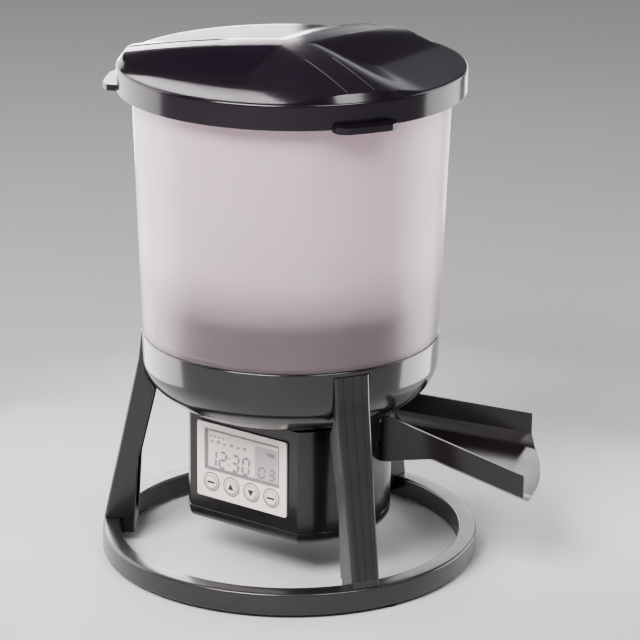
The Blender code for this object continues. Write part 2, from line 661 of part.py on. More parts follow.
def chute_point(share, side, height, inset=0.0):
    """A point of the trough: share 0 to 1 along it, side -1 to 1 across it.

    The middle of its end reaches past the walls.
    """
    spread = side * (1 - inset / CHUTE_HALF)
    start = CHUTE_ROOT_R - 12.0
    end = CHUTE_END + CHUTE_BULGE * (1 - spread ** 2)
    reach = start + share * (end - start)
    across = side * (chute_half(min(reach, CHUTE_END)) - inset)
    return reach, across, chute_top(reach) + height


def chute_top(reach):
    return CHUTE_TOP_AT_END + CHUTE_SLOPE * (CHUTE_END - reach)


def chute_section(share):
    """Upright walls, a sloping band below each and a flat floor, as one closed outline."""
    wall, floor = CHUTE_WALL, CHUTE_WALL_H + CHUTE_DROP
    middle = (-0.5, 0.0, 0.5)
    low = [chute_point(share, side, -floor, CHUTE_BAND) for side in middle]
    high = [chute_point(share, side, wall - floor, CHUTE_BAND) for side in middle]
    outside = [
        chute_point(share, -1, 0.0), chute_point(share, -1, -CHUTE_WALL_H),
        chute_point(share, -1, -floor, CHUTE_BAND), *low,
        chute_point(share, 1, -floor, CHUTE_BAND), chute_point(share, 1, -CHUTE_WALL_H),
        chute_point(share, 1, 0.0)]
    inside = [
        chute_point(share, 1, 0.0, wall), chute_point(share, 1, 1.4 - CHUTE_WALL_H, wall),
        chute_point(share, 1, wall - floor, CHUTE_BAND + 0.4), *high[::-1],
        chute_point(share, -1, wall - floor, CHUTE_BAND + 0.4),
        chute_point(share, -1, 1.4 - CHUTE_WALL_H, wall), chute_point(share, -1, 0.0, wall)]
    return outside + inside


def make_chute():
    chute = loft("chute", [chute_section(i / 4) for i in range(5)], "black_plastic", CHUTE)
    screw_z = 79.0
    flange = block("chute_flange", (56.0, -22.0, 73.5), (73.4, 22.0, 88.0), None, CHUTE)
    combine(chute, flange, "UNION")
    root = CHUTE_ROOT_R - 9.0
    kink = 104.0
    flare = math.atan(CHUTE_FLARE)
    gusset = [((reach + CHUTE_APEX) / math.cos(flare), height) for reach, height in (
        (root, 74.5), (kink, chute_top(kink) - CHUTE_WALL_H + 0.8),
        (kink, chute_top(kink) - 8.0), (root, chute_top(root) - 8.0))]
    for name, side in (("left", -1), ("right", 1)):
        low, high = sorted((side * 0.23, side * 2.1))
        tool = prism(f"chute_gusset_{name}", gusset, low, high, None, CHUTE,
                     turn=(90, 0, side * math.degrees(flare)), at=(-CHUTE_APEX, 0, 0))
        combine(chute, tool, "UNION")
    back = CHUTE_ROOT_R + 0.13
    combine(chute, pin("chute_back", [(back, 130.0), (back, 50.0)], 50, None, CHUTE))
    for number, across in enumerate((-12.0, 12.0), 1):
        spot = (0, across, screw_z)
        drill(chute, f"chute_hole_{number}", 1.8, 50.0, 80.0, CHUTE, spot, turn=(0, 90, 0), steps=12)
        stations = [(1.6, 75.8), (3.0, 75.4), (3.0, 73.8), (1.5, 73.8), (1.5, 62.0)]
        pin(f"chute_screw_{number}", stations, 12, "steel", CHUTE, spot, turn=(0, 90, 0))


# ---------------------------------------------------------------- assembly

def main():
    make_ring()
    make_legs()
    make_bowl()
    make_funnel()
    make_hopper()
    make_lid()
    make_control_housing()
    make_base_cover()
    make_batteries()
    make_front_panel()
    make_thrower_housing()
    make_drive()
    make_motor_bracket()
    make_thrower()
    make_dosing()
    make_chute()


clear_scene()
PARTS = new_collection("fish_feeder")
CUTTERS = new_collection("cutters")
AXIS = empty("feeder_axis", location=(AXIS_X, AXIS_Y, 0))
CHUTE = empty("chute_direction", AXIS, turn=CHUTE_TURN)
main()
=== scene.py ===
"""Looks of the pond fish feeder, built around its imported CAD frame.

Lengths are millimetres on the feeder's own upright axis, as in the CAD: X to the right of the
control panel, Y to the back, Z up from the floor. place() turns them into the row's metres.
"""
import math

import bmesh
import bpy
from mathutils import Matrix, Vector


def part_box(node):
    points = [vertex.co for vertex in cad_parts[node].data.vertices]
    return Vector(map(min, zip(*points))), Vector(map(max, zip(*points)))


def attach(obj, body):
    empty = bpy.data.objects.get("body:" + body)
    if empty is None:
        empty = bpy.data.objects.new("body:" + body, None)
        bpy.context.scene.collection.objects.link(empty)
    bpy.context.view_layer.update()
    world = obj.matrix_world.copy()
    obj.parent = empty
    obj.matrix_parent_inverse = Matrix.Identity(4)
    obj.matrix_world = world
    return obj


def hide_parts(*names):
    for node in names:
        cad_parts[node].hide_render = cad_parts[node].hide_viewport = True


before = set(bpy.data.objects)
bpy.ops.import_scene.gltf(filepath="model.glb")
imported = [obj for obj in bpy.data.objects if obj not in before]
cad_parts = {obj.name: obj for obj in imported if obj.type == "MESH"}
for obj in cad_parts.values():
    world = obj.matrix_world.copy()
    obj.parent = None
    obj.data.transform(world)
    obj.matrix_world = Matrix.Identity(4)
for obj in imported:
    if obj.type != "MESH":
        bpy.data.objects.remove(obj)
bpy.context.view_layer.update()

MM = 0.001
SHARP_ANGLE = 38.0


def middle_of(node):
    low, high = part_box(node)
    return (low + high) / 2


AXIS_X = middle_of("hopper").x / MM
AXIS_Y = middle_of("hopper").y / MM


def reach_of(node):
    """Lowest and highest corner of a CAD node, in millimetres on the feeder's axis."""
    low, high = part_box(node)
    shift = Vector((AXIS_X, AXIS_Y, 0.0))
    return low / MM - shift, high / MM - shift


# ---------------------------------------------------------------- driving sizes

LEGS = {"leg_front_right": -30.0, "leg_rear": 90.0, "leg_front_left": 210.0}

RING_R = reach_of("base_ring")[1].x
RING_LOW, RING_TOP = reach_of("base_ring")[0].z, reach_of("base_ring")[1].z
RING_WIDTH = 12.5
LEG_WALL = 2.6

BOWL_R = reach_of("base_bowl")[1].y
BOWL_TOP, BOWL_LOW = reach_of("base_bowl")[1].z, reach_of("base_bowl")[0].z
BOWL_FLAT_R = 55.0
BOWL_CURVE_TOP = 142.0
SPIGOT_R = 96.5
LEDGE_Z = 147.3

HOPPER_TOP, HOPPER_LOW = reach_of("hopper")[1].z, reach_of("hopper")[0].z
HOPPER_WALL = 2.2
HOPPER_FOOT_R, HOPPER_HEAD_R, HOPPER_LIP_R = 100.9, 107.1, 112.0
FUNNEL_TOP = reach_of("funnel")[1].z
SPOUT_SEAM = reach_of("funnel_spout")[1].z + 0.2
THROAT_R = 20.2

LID_TOP = reach_of("lid")[1].z
LID_R = 117.0
SKIRT_LOW = 328.0
LID_RIM_Z = 345.0
LID_WALL = 2.4

DRUM_R = reach_of("control_housing")[1].x
DRUM_TOP, DRUM_SEAM = reach_of("control_housing")[1].z, reach_of("control_housing")[0].z
COVER_LOW, COVER_TOP = reach_of("base_cover")[0].z, reach_of("base_cover")[1].z
FACE_Y = reach_of("control_housing")[0].y
DRUM_WALL = 2.5

CHUTE_TURN = 30.0
CHUTE_ROOT_R = DRUM_R + 0.5
CHUTE_END, CHUTE_BULGE = 164.0, 9.0
CHUTE_HALF, CHUTE_APEX = 63.5, 8.75
CHUTE_SLOPE, CHUTE_TOP_AT_END = 0.27, 83.0
CHUTE_WALL_H, CHUTE_DROP, CHUTE_BAND, CHUTE_WALL = 16.0, 6.0, 12.0, 2.2
CHUTE_FLARE = CHUTE_HALF / (CHUTE_END + CHUTE_APEX)
CHUTE_SCREW_Z, CHUTE_SCREW_SIDES = 79.0, (-12.0, 12.0)

PANEL_LOW, PANEL_HIGH = reach_of("front_panel")
WINDOW_LOW, WINDOW_HIGH = reach_of("lcd_window")
BUTTONS = ("button_menu", "button_up", "button_down", "button_enter")
BUTTON_BODIES = ("menu_button", "up_button", "down_button", "enter_button")
BUTTON_R = 5.75
FRONT_CUT = (45.0, 60.0)  # depths in front of the axis between which the front is cut through
PILOT_R = 1.8  # holes that the screws go into
SCREW_SPOTS = [(54.0, 28.0), (-54.0, 28.0), (54.0, -28.0), (-54.0, -28.0)]


# ---------------------------------------------------------------- mesh helpers

def polar(radius, degrees):
    return radius * math.cos(math.radians(degrees)), radius * math.sin(math.radians(degrees))


def turn_z(degrees):
    return Matrix.Rotation(math.radians(degrees), 4, "Z")


def facing(degrees, at=(0.0, 0.0, 0.0)):
    """Local Z points outwards, level, in the direction given; local Y points up."""
    return (Matrix.Translation(Vector(at)) @ turn_z(degrees + 90.0)
            @ Matrix.Rotation(math.pi / 2, 4, "X"))


def new_object(name, bm, matrix=None, sharp=SHARP_ANGLE):
    """Turn millimetres on the feeder's axis into an object in the row's metres."""
    if matrix is not None:
        bmesh.ops.transform(bm, matrix=matrix, verts=bm.verts)
    to_row = Matrix.Scale(MM, 4) @ Matrix.Translation((AXIS_X, AXIS_Y, 0.0))
    bmesh.ops.transform(bm, matrix=to_row, verts=bm.verts)
    bmesh.ops.recalc_face_normals(bm, faces=bm.faces)
    mesh = bpy.data.meshes.new(name)
    bm.to_mesh(mesh)
    bm.free()
    mesh.shade_smooth()
    mesh.set_sharp_from_angle(angle=math.radians(sharp))
    obj = bpy.data.objects.new(name, mesh)
    bpy.context.scene.collection.objects.link(obj)
    return obj


def settle(obj):
    """Apply an object's modifiers."""
    bpy.context.view_layer.update()
    graph = bpy.context.evaluated_depsgraph_get()
    mesh = bpy.data.meshes.new_from_object(obj.evaluated_get(graph))
    obj.modifiers.clear()
    obj.data = mesh
    mesh.shade_smooth()
    mesh.set_sharp_from_angle(angle=math.radians(SHARP_ANGLE))
    return obj


def carve(obj, tools, operation="DIFFERENCE"):
    """Apply one Boolean for each tool, then remove the tools."""
    for tool in tools:
        cut = obj.modifiers.new("cut", "BOOLEAN")
        cut.operation = operation
        cut.solver = "EXACT"
        cut.object = tool
    settle(obj)
    for tool in tools:
        bpy.data.objects.remove(tool)
    return obj


def soften(obj, width, segments=3, angle=35.0):
    """Round the edges, and keep the flat faces flat in shading."""
    bevel = obj.modifiers.new("edges", "BEVEL")
    bevel.width = width * MM
    bevel.segments = segments
    bevel.limit_method = "ANGLE"
    bevel.angle_limit = math.radians(angle)
    bevel.use_clamp_overlap = True
    bevel.miter_outer = "MITER_ARC"
    obj.modifiers.new("normals", "WEIGHTED_NORMAL").keep_sharp = True
    return obj


def fillet(points, steps=5, closed=True):
    """Round each corner of an outline of (x, y) or (x, y, radius)."""
    out = []
    for i, point in enumerate(points):
        radius = point[2] if len(point) > 2 else 0.0
        here = Vector(point[:2])
        if radius <= 0.0 or (not closed and i in (0, len(points) - 1)):
            out.append(tuple(here))
            continue
        before = (Vector(points[i - 1][:2]) - here).normalized()
        after = (Vector(points[(i + 1) % len(points)][:2]) - here).normalized()
        half = before.angle(after) / 2
        back = radius / math.tan(half)
        centre = here + (before + after).normalized() * radius / math.sin(half)
        first, last = here + before * back - centre, here + after * back - centre
        for k in range(steps + 1):
            out.append(tuple(centre + first.lerp(last, k / steps).normalized() * radius))
    return out


def round_box(x0, y0, x1, y1, radius, steps=5):
    """A rectangle with rounded corners, as an outline of (x, y)."""
    return fillet([(x0, y0, radius), (x1, y0, radius), (x1, y1, radius), (x0, y1, radius)], steps)


def revolve(name, profile, steps, matrix=None, closed=True):
    """Turn a profile of (radius, height) about the axis."""
    bm = bmesh.new()
    columns = []
    poles = {i: bm.verts.new((0.0, 0.0, height)) for i, (radius, height) in enumerate(profile)
             if radius < 1e-6}
    for k in range(steps):
        c, s = math.cos(2 * math.pi * k / steps), math.sin(2 * math.pi * k / steps)
        columns.append([poles[i] if i in poles else bm.verts.new((radius * c, radius * s, height))
                        for i, (radius, height) in enumerate(profile)])
    count = len(profile)
    for k in range(steps):
        left, right = columns[k], columns[(k + 1) % steps]
        for i in range(count if closed else count - 1):
            j = (i + 1) % count
            corners = [left[i], left[j], right[j], right[i]]
            corners = [v for n, v in enumerate(corners) if v not in corners[:n]]
            if len(corners) > 2:
                bm.faces.new(corners)
    return new_object(name, bm, matrix)


def plate(name, outline, low, high, matrix=None):
    """A flat outline of (x, y) raised from one height to another."""
    bm = bmesh.new()
    base = bm.faces.new([bm.verts.new((x, y, low)) for x, y in outline])
    raised = bmesh.ops.extrude_face_region(bm, geom=[base])["geom"]
    lift = [item for item in raised if isinstance(item, bmesh.types.BMVert)]
    bmesh.ops.translate(bm, vec=(0, 0, high - low), verts=lift)
    return new_object(name, bm, matrix)


def slab(name, low, high, matrix=None):
    (x0, y0, z0), (x1, y1, z1) = low, high
    return plate(name, [(x0, y0), (x1, y0), (x1, y1), (x0, y1)], z0, z1, matrix)


def loft(name, sections, matrix=None):
    """Join sections of equal point count, each a closed list of (x, y, z), and cap both ends."""
    bm = bmesh.new()
    rings = [[bm.verts.new(point) for point in section] for section in sections]
    for lower, upper in zip(rings, rings[1:]):
        for i in range(len(lower)):
            j = (i + 1) % len(lower)
            bm.faces.new((lower[i], lower[j], upper[j], upper[i]))
    bm.faces.new(rings[0][::-1])
    bm.faces.new(rings[-1])
    return new_object(name, bm, matrix)


def rod(name, radius, low, high, at=(0.0, 0.0), steps=48, matrix=None):
    """An upright round cutter or peg."""
    move = Matrix.Translation((*at, 0.0))
    return revolve(name, [(0.0, high), (radius, high), (radius, low), (0.0, low)], steps,
                   move if matrix is None else matrix @ move, closed=False)


def arc(radius, start, end, count):
    return [polar(radius, start + (end - start) * i / (count - 1)) for i in range(count)]


def finish(obj, material, body="feeder", node=None):
    """Give a piece its material, and say which body it rides on and what it stands for."""
    obj.data.materials.clear()
    obj.data.materials.append(material)
    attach(obj, body)
    if node:
        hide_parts(*([node] if isinstance(node, str) else node))
    return obj


# ---------------------------------------------------------------- materials

class Nodes:
    """Short ways to build a material's node tree."""

    def __init__(self, name):
        self.material = bpy.data.materials.new(name)
        self.material.use_nodes = True
        self.tree = self.material.node_tree
        self.shader = self.tree.nodes["Principled BSDF"]
        self.place = self.tree.nodes.new("ShaderNodeTexCoord").outputs["Object"]

    def node(self, kind, inputs=(), **settings):
        made = self.tree.nodes.new(kind)
        for key, value in settings.items():
            setattr(made, key, value)
        for key, value in dict(inputs).items():
            self.feed(made.inputs[key], value)
        return made

    def feed(self, socket, value):
        if isinstance(value, bpy.types.NodeSocket):
            self.tree.links.new(value, socket)
        else:
            socket.default_value = value

    def set(self, **inputs):
        for key, value in inputs.items():
            self.feed(self.shader.inputs[key.replace("_", " ")], value)

    def stretched(self, scale):
        return self.node("ShaderNodeMapping", {"Vector": self.place, "Scale": scale}
                         ).outputs["Vector"]

    def noise(self, size_mm, detail=3.0, vector=None):
        """Noise whose features are about size_mm across."""
        return self.node("ShaderNodeTexNoise", {
            "Vector": vector or self.place, "Scale": 1.0 / (size_mm * MM), "Detail": detail,
            "Roughness": 0.5}).outputs["Fac"]

    def spread(self, value, low, high, from_low=0.3, from_high=0.7):
        """Map a value to low..high; noise mostly lies between 0.3 and 0.7."""
        return self.node("ShaderNodeMapRange", {
            "Value": value, "From Min": from_low, "From Max": from_high,
            "To Min": low, "To Max": high}).outputs["Result"]

    def blend(self, share, first, second):
        mix = self.node("ShaderNodeMix", data_type="RGBA")
        self.feed(mix.inputs[0], share)
        self.feed(mix.inputs[6], first)
        self.feed(mix.inputs[7], second)
        return mix.outputs[2]

    def bump(self, height, strength, distance_mm, normal=None):
        inputs = {"Height": height, "Strength": strength, "Distance": distance_mm * MM}
        if normal is not None:
            inputs["Normal"] = normal
        return self.node("ShaderNodeBump", inputs).outputs["Normal"]


def colour(red, green, blue):
    return (red, green, blue, 1.0)


def shaded(base, factor):
    return (*[min(1.0, channel * factor) for channel in base[:3]], 1.0)


def plastic(name, base, roughness, grain_mm=0.5, grain=0.12, mottle=0.12, coat=0.0, flow=0.15):
    """Moulded plastic: fine grain, soft flow marks, and a finish that varies a little.

    A roughness that varies across 0.27 renders as veins, so each finish stays on one side of it.
    """
    n = Nodes(name)
    cloud = n.noise(45.0, 4.0)
    tint = n.spread(cloud, 0.0, 1.0)
    n.set(Base_Color=n.blend(tint, shaded(base, 1.0 - mottle), shaded(base, 1.0 + mottle)))
    wipe = n.noise(14.0, 3.0, n.stretched((1.0, 1.0, 0.35)))
    n.set(Roughness=n.spread(wipe, roughness * (1.0 - flow), roughness * (1.0 + flow)))
    wave = n.bump(n.noise(26.0, 2.0), 0.12, 0.25)
    n.set(Normal=n.bump(n.noise(grain_mm, 2.0), grain, 0.05, wave))
    n.set(Coat_Weight=coat, Coat_Roughness=roughness * 0.5)
    return n.material


def milky_plastic(name):
    """Frosted clear plastic, hazier towards the top, with faint upright draw lines."""
    n = Nodes(name)
    height = n.node("ShaderNodeSeparateXYZ", {"Vector": n.place}).outputs["Z"]
    rise = n.spread(height, 0.0, 1.0, (FUNNEL_TOP - 6.0) * MM, (FUNNEL_TOP + 30.0) * MM)
    cloud = n.spread(n.noise(60.0, 3.0), 0.0, 1.0)
    tint = n.blend(cloud, colour(0.83, 0.69, 0.735), colour(0.86, 0.735, 0.77))
    n.set(Base_Color=tint, IOR=1.46, Specular_IOR_Level=0.5)
    n.set(Transmission_Weight=n.spread(rise, 0.90, 0.48, 0.0, 1.0))
    n.set(Roughness=n.spread(n.noise(40.0, 1.0), 0.285, 0.32, 0.2, 0.8))
    n.set(Subsurface_Weight=0.6, Subsurface_Radius=(1.0, 0.9, 0.92), Subsurface_Scale=0.004)
    ripple = n.bump(n.noise(30.0, 1.0, n.stretched((1.0, 1.0, 0.1))), 0.04, 0.1)
    n.set(Normal=n.bump(n.noise(0.9, 2.0), 0.03, 0.02, ripple))
    return n.material


def film(name, base):
    """Printed polyester film with a fine satin texture."""
    n = Nodes(name)
    tint = n.spread(n.noise(18.0, 3.0), 0.0, 1.0)
    n.set(Base_Color=n.blend(tint, shaded(base, 0.97), shaded(base, 1.03)))
    n.set(Roughness=n.spread(n.noise(1.2, 2.0), 0.38, 0.5))
    n.set(Normal=n.bump(n.noise(0.25, 1.0), 0.10, 0.02))
    return n.material


def metal(name, base, roughness, along):
    """Metal with a drawn or turned finish; along squeezes the grain, least where it runs."""
    n = Nodes(name)
    streak = n.noise(0.8, 3.0, n.stretched(along))
    n.set(Base_Color=n.blend(n.spread(streak, 0.0, 1.0), shaded(base, 0.9), shaded(base, 1.08)))
    n.set(Metallic=1.0, Roughness=n.spread(streak, roughness * 0.75, roughness * 1.3))
    n.set(Normal=n.bump(streak, 0.08, 0.03))
    return n.material


def clear_window(name):
    """Clear, glossy plastic that lets the display show through."""
    n = Nodes(name)
    n.set(Base_Color=colour(0.80, 0.77, 0.76), Roughness=n.spread(n.noise(6.0), 0.05, 0.10))
    n.set(Alpha=0.16, Specular_IOR_Level=1.0)
    n.set(Normal=n.bump(n.noise(12.0, 2.0), 0.03, 0.05))
    return n.material


def board_finish(name):
    """Green solder mask with faint copper tracks under it."""
    n = Nodes(name)
    cells = n.node("ShaderNodeTexVoronoi", {"Vector": n.place, "Scale": 420.0},
                   feature="DISTANCE_TO_EDGE", distance="MANHATTAN").outputs["Distance"]
    track = n.spread(cells, 1.0, 0.0, 0.02, 0.06)
    n.set(Base_Color=n.blend(track, colour(0.012, 0.11, 0.045), colour(0.03, 0.24, 0.08)))
    n.set(Roughness=n.spread(n.noise(3.0), 0.28, 0.4), Normal=n.bump(track, 0.2, 0.05))
    return n.material


def cell_finish(name):
    """Battery sleeve: a coloured body with a gold band at one end, along X."""
    n = Nodes(name)
    along = n.node("ShaderNodeSeparateXYZ", {"Vector": n.place}).outputs["X"]
    band_start, fade = AXIS_X + 8.0, 0.4
    band = n.spread(along, 0.0, 1.0, band_start * MM, band_start * MM + fade * MM)
    n.set(Base_Color=n.blend(band, colour(0.02, 0.06, 0.055), colour(0.55, 0.36, 0.12)))
    n.set(Metallic=n.spread(band, 0.1, 0.7, 0.0, 1.0), Roughness=n.spread(n.noise(4.0), 0.25, 0.36))
    n.set(Normal=n.bump(n.noise(1.0), 0.05, 0.03))
    return n.material


LID = plastic("lid_plastic", colour(0.011, 0.007, 0.013), 0.17, grain_mm=0.8, grain=0.05)
BOWL = plastic("bowl_plastic", colour(0.009, 0.008, 0.010), 0.20, grain_mm=0.8, grain=0.04,
               coat=0.8)
BLACK = plastic("leg_plastic", colour(0.016, 0.015, 0.017), 0.33, grain_mm=0.45, grain=0.10,
                coat=0.5)
HOUSING = plastic("housing_plastic", colour(0.015, 0.015, 0.014), 0.23, grain_mm=0.5, grain=0.10,
                  coat=0.5)
CHUTE = plastic("chute_plastic", colour(0.013, 0.010, 0.012), 0.23, grain_mm=0.5, grain=0.08,
                coat=0.25)
INNER = plastic("inner_plastic", colour(0.012, 0.012, 0.013), 0.40, grain_mm=0.6, grain=0.2)
MILKY = milky_plastic("milky_plastic")
FILM = film("panel_film", colour(0.80, 0.74, 0.71))
FILM_EDGE = film("panel_print_light", colour(0.88, 0.84, 0.81))
KEY = film("key_print", colour(0.74, 0.70, 0.67))
INK = film("key_ink", colour(0.035, 0.033, 0.032))
INK_GREY = film("key_outline", colour(0.13, 0.125, 0.12))
# The display field's cream is painted lighter than the panel film: a painted brightening that
# offsets the shade it gets behind the window in its recess.
LCD = film("lcd_field", colour(0.88, 0.82, 0.79))
LCD_PATCH = film("lcd_patch", colour(0.47, 0.39, 0.41))
LCD_INK = film("lcd_digits", colour(0.035, 0.03, 0.032))
LCD_FAINT = film("lcd_small_marks", colour(0.15, 0.135, 0.13))
WINDOW = clear_window("lcd_window_clear")
RUBBER = plastic("rubber_pad", colour(0.018, 0.018, 0.018), 0.75, grain_mm=0.4, grain=0.4)
STEEL = metal("zinc_steel", colour(0.55, 0.55, 0.56), 0.32, (1.0, 1.0, 0.3))
BRASS = metal("turned_brass", colour(0.66, 0.47, 0.20), 0.28, (0.3, 0.3, 1.0))
NYLON = plastic("gear_nylon", colour(0.70, 0.69, 0.65), 0.45, grain_mm=0.7, grain=0.15,
                mottle=0.04)
BOARD = board_finish("circuit_board_mask")
CELL = cell_finish("battery_sleeve")


# ---------------------------------------------------------------- floor ring, feet and legs

def make_ring():
    inner = RING_R - RING_WIDTH
    profile = fillet([
        (inner, RING_LOW, 0.6), (inner, RING_TOP, 1.6), (RING_R, RING_TOP, 1.8),
        (RING_R, RING_LOW, 1.2)], 6)
    ring = revolve("floor_ring", profile, 240)
    middle = RING_R - RING_WIDTH / 2
    tools = []
    bore_r, sink_r, sink_top = 1.9, 3.8, 5.6
    for direction in LEGS.values():
        spot = polar(middle, direction)
        tools.append(rod("bore", bore_r, 0.0, 15.0, spot))
        tools.append(rod("sink", sink_r, 0.0, sink_top, spot))
    carve(ring, tools)
    finish(ring, BLACK, node="base_ring")
    pad_top, pad_turn = RING_LOW - 0.3, 9.0
    for number, direction in enumerate(LEGS.values(), 1):
        screw(f"ring_fixing_{number}", f"ring_screw_{number}", head_r=3.2, head_low=3.2,
              head_h=2.1, tip=21.0, matrix=Matrix.Translation((*polar(middle, direction), 0.0)))
        pad = revolve(f"foot_{number}", fillet([
            (0.0, pad_top), (4.8, pad_top, 0.3), (5.0, 0.0, 0.7), (2.6, 0.0, 0.3),
            (2.2, 0.5, 0.3), (0.0, 0.5)], 4, closed=False), 64,
            Matrix.Translation((*polar(middle, direction + pad_turn), 0.0)), closed=False)
        finish(pad, RUBBER, node=f"foot_pad_{number}")


def screw(name, node, head_r, head_low, head_h, tip, matrix):
    """A pan-head screw with a cross recess. Its head faces local -Z at head_low."""
    shank_r, slot_half, steps = 1.5, 0.42, 48
    shoulder = head_low + head_h
    body = revolve(name, fillet([
        (0.0, head_low), (head_r, head_low, min(1.2, head_h * 0.7)), (head_r, shoulder, 0.2),
        (shank_r, shoulder, 0.2), (shank_r, tip, 0.5), (0.0, tip)], 4, closed=False), steps,
        matrix, closed=False)
    cross = [slab("cross", (-head_r * 0.55, -slot_half, head_low - 1.0),
                  (head_r * 0.55, slot_half, head_low + 0.9), matrix @ turn_z(turn))
             for turn in (20.0, 110.0)]
    carve(body, cross)
    return finish(body, STEEL, node=node)


LEG_STEP = 8.0  # greatest height between two of a leg's sections
LEG_STATIONS = [  # height, outer radius, inner radius, width
    (17.8, 129.4, 107.6, 19.5), (62.0, 120.0, 105.0, 21.0), (114.0, 108.9, 92.9, 23.6),
    (126.0, 106.4, 98.9, 24.2), (137.0, 104.2, 98.9, 24.6), (156.6, 102.1, 98.9, 25.2)]


def leg_section(height, outer, inner, width):
    """A channel open towards the axis, with rounded edges and three fine grooves outside."""
    half, wall = width / 2, LEG_WALL
    web = min(wall, (outer - inner) * 0.7)
    groove_bed = outer - 0.4
    grooves = []
    for share in (-0.27, 0.0, 0.27):
        y = share * width
        grooves += [(outer, y - 0.6), (groove_bed, y - 0.3), (groove_bed, y + 0.3),
                    (outer, y + 0.6)]
    outline = fillet([
        (inner, -half, 0.6), (outer, -half, 2.4), *grooves, (outer, half, 2.4), (inner, half, 0.6),
        (inner, half - wall, 0.6), (outer - web, half - wall, 0.8),
        (outer - web, wall - half, 0.8), (inner, wall - half, 0.6)], 4)
    return [(x, y, height) for x, y in outline]


def make_legs():
    stations = []
    for low, high in zip(LEG_STATIONS, LEG_STATIONS[1:]):
        steps = max(1, round((high[0] - low[0]) / LEG_STEP))
        stations += [tuple(a + (b - a) * k / steps for a, b in zip(low, high))
                     for k in range(steps)]
    stations.append(LEG_STATIONS[-1])
    for name, direction in LEGS.items():
        turn = turn_z(direction)
        leg = loft(f"{name}_channel", [leg_section(*station) for station in stations], turn)
        foot = plate("foot", fillet([(108.2, -9.2, 1.0), (128.7, -9.2, 2.0), (128.7, 9.2, 2.0),
                                     (108.2, 9.2, 1.0)]), 18.2, 22.4, turn)
        hook = plate("hook", fillet([(107.9, -9.0, 1.0), (116.7, -9.0, 0.5), (116.7, 9.0, 0.5),
                                     (107.9, 9.0, 1.0)]), 7.0, 20.0, turn)
        carve(leg, [foot, hook], "UNION")
        soften(leg, 0.5, 2, 50.0)
        finish(leg, BLACK, node=name)


# ---------------------------------------------------------------- bowl, funnel, hopper

def quarter(wide, deep, count):
    """Quarter ellipse from the bowl's side down to its flat bottom."""
    angles = [math.pi / 2 * i / (count - 1) for i in range(count)]
    return [(BOWL_FLAT_R + wide * math.cos(a), BOWL_CURVE_TOP - deep * math.sin(a))
            for a in angles]


def make_bowl():
    outlet, floor, bore = 24.0, 2.6, 92.5
    deep = BOWL_CURVE_TOP - BOWL_LOW
    outer = quarter(BOWL_R - 0.4 - BOWL_FLAT_R, deep, 28)
    inner = quarter(bore - BOWL_FLAT_R, deep - floor, 20)
    rim = fillet([(SPIGOT_R, LEDGE_Z), (SPIGOT_R, BOWL_TOP, 0.5), (BOWL_R, BOWL_TOP, 1.0),
                  (BOWL_R - 0.4, BOWL_CURVE_TOP)], 5, closed=False)
    profile = [*rim, *outer[1:], (outlet, BOWL_LOW), (outlet, BOWL_LOW + floor),
               *inner[::-1], (bore, LEDGE_Z)]
    bowl = revolve("hopper_bowl", profile, 216)
    pockets = [slab("pocket", (98.6, -13.0, 100.0), (112.0, 13.0, 157.0), turn_z(direction))
               for direction in LEGS.values()]
    carve(bowl, pockets)
    finish(bowl, BOWL, node="base_bowl")


def make_funnel():
    profile = fillet([
        (96.6, FUNNEL_TOP, 0.5), (98.9, FUNNEL_TOP, 0.8), (98.9, FUNNEL_TOP - 3.0, 0.8),
        (THROAT_R + 2.0, SPOUT_SEAM, 0.3), (THROAT_R, SPOUT_SEAM),
        (THROAT_R, SPOUT_SEAM + 0.9, 0.4)], 6)
    funnel = revolve("feed_funnel", profile, 160)
    rib = fillet([(44.0, 140.5), (91.5, 186.0, 2.0), (91.5, 149.0, 2.0), (84.0, 127.5, 3.0),
                  (62.0, 113.9, 3.0), (44.0, 113.9)], 4)
    rib_half, first_rib = 1.1, 15.0
    ribs = [plate("rib", rib, -rib_half, rib_half, turn_z(60.0 * k + first_rib)
                  @ Matrix.Rotation(math.pi / 2, 4, "X")) for k in range(6)]
    carve(funnel, ribs, "UNION")
    finish(funnel, INNER, node="funnel")


def make_hopper():
    wall, gap, lip = HOPPER_WALL, 0.3, 2.0
    foot_z = BOWL_TOP + gap
    spigot = SPIGOT_R - gap
    profile = fillet([
        (HOPPER_HEAD_R - wall, HOPPER_TOP, 0.6), (HOPPER_LIP_R, HOPPER_TOP, 0.7),
        (HOPPER_LIP_R, HOPPER_TOP - lip, 0.7), (HOPPER_HEAD_R, HOPPER_TOP - lip, 0.8),
        (HOPPER_FOOT_R, foot_z, 0.5), (spigot, foot_z, 0.3), (spigot, HOPPER_LOW, 0.4),
        (spigot - wall, HOPPER_LOW, 0.4), (spigot - wall, BOWL_TOP + 2.6, 0.8),
        (HOPPER_FOOT_R - wall, BOWL_TOP + 2.6, 1.2)], 5)
    hopper = revolve("hopper_tank", profile, 224)
    finish(hopper, MILKY, node="hopper")


# ---------------------------------------------------------------- lid

def lid_height(radius, angle):
    """Three flat-topped ridges over the legs, with a hollow scooped out between each pair."""
    ridge_half, scoop_width, ridge_fall, dome_r = 9.0, 42.0, 8.5, 112.0
    rise = LID_TOP - LID_RIM_Z
    offset = min(abs((angle - math.radians(d) + math.pi) % (2 * math.pi) - math.pi)
                 for d in LEGS.values())
    across = radius * math.sin(min(offset, math.pi / 2))
    t = min(max((across - ridge_half) / scoop_width, 0.0), 1.0)
    ridge = 1.0 - t * t * (3.0 - 2.0 * t)
    fall = (radius / dome_r) ** 2
    crest = LID_RIM_Z + rise - ridge_fall * fall
    hollow = LID_RIM_Z - 1.0 + fall
    return hollow + (crest - hollow) * ridge


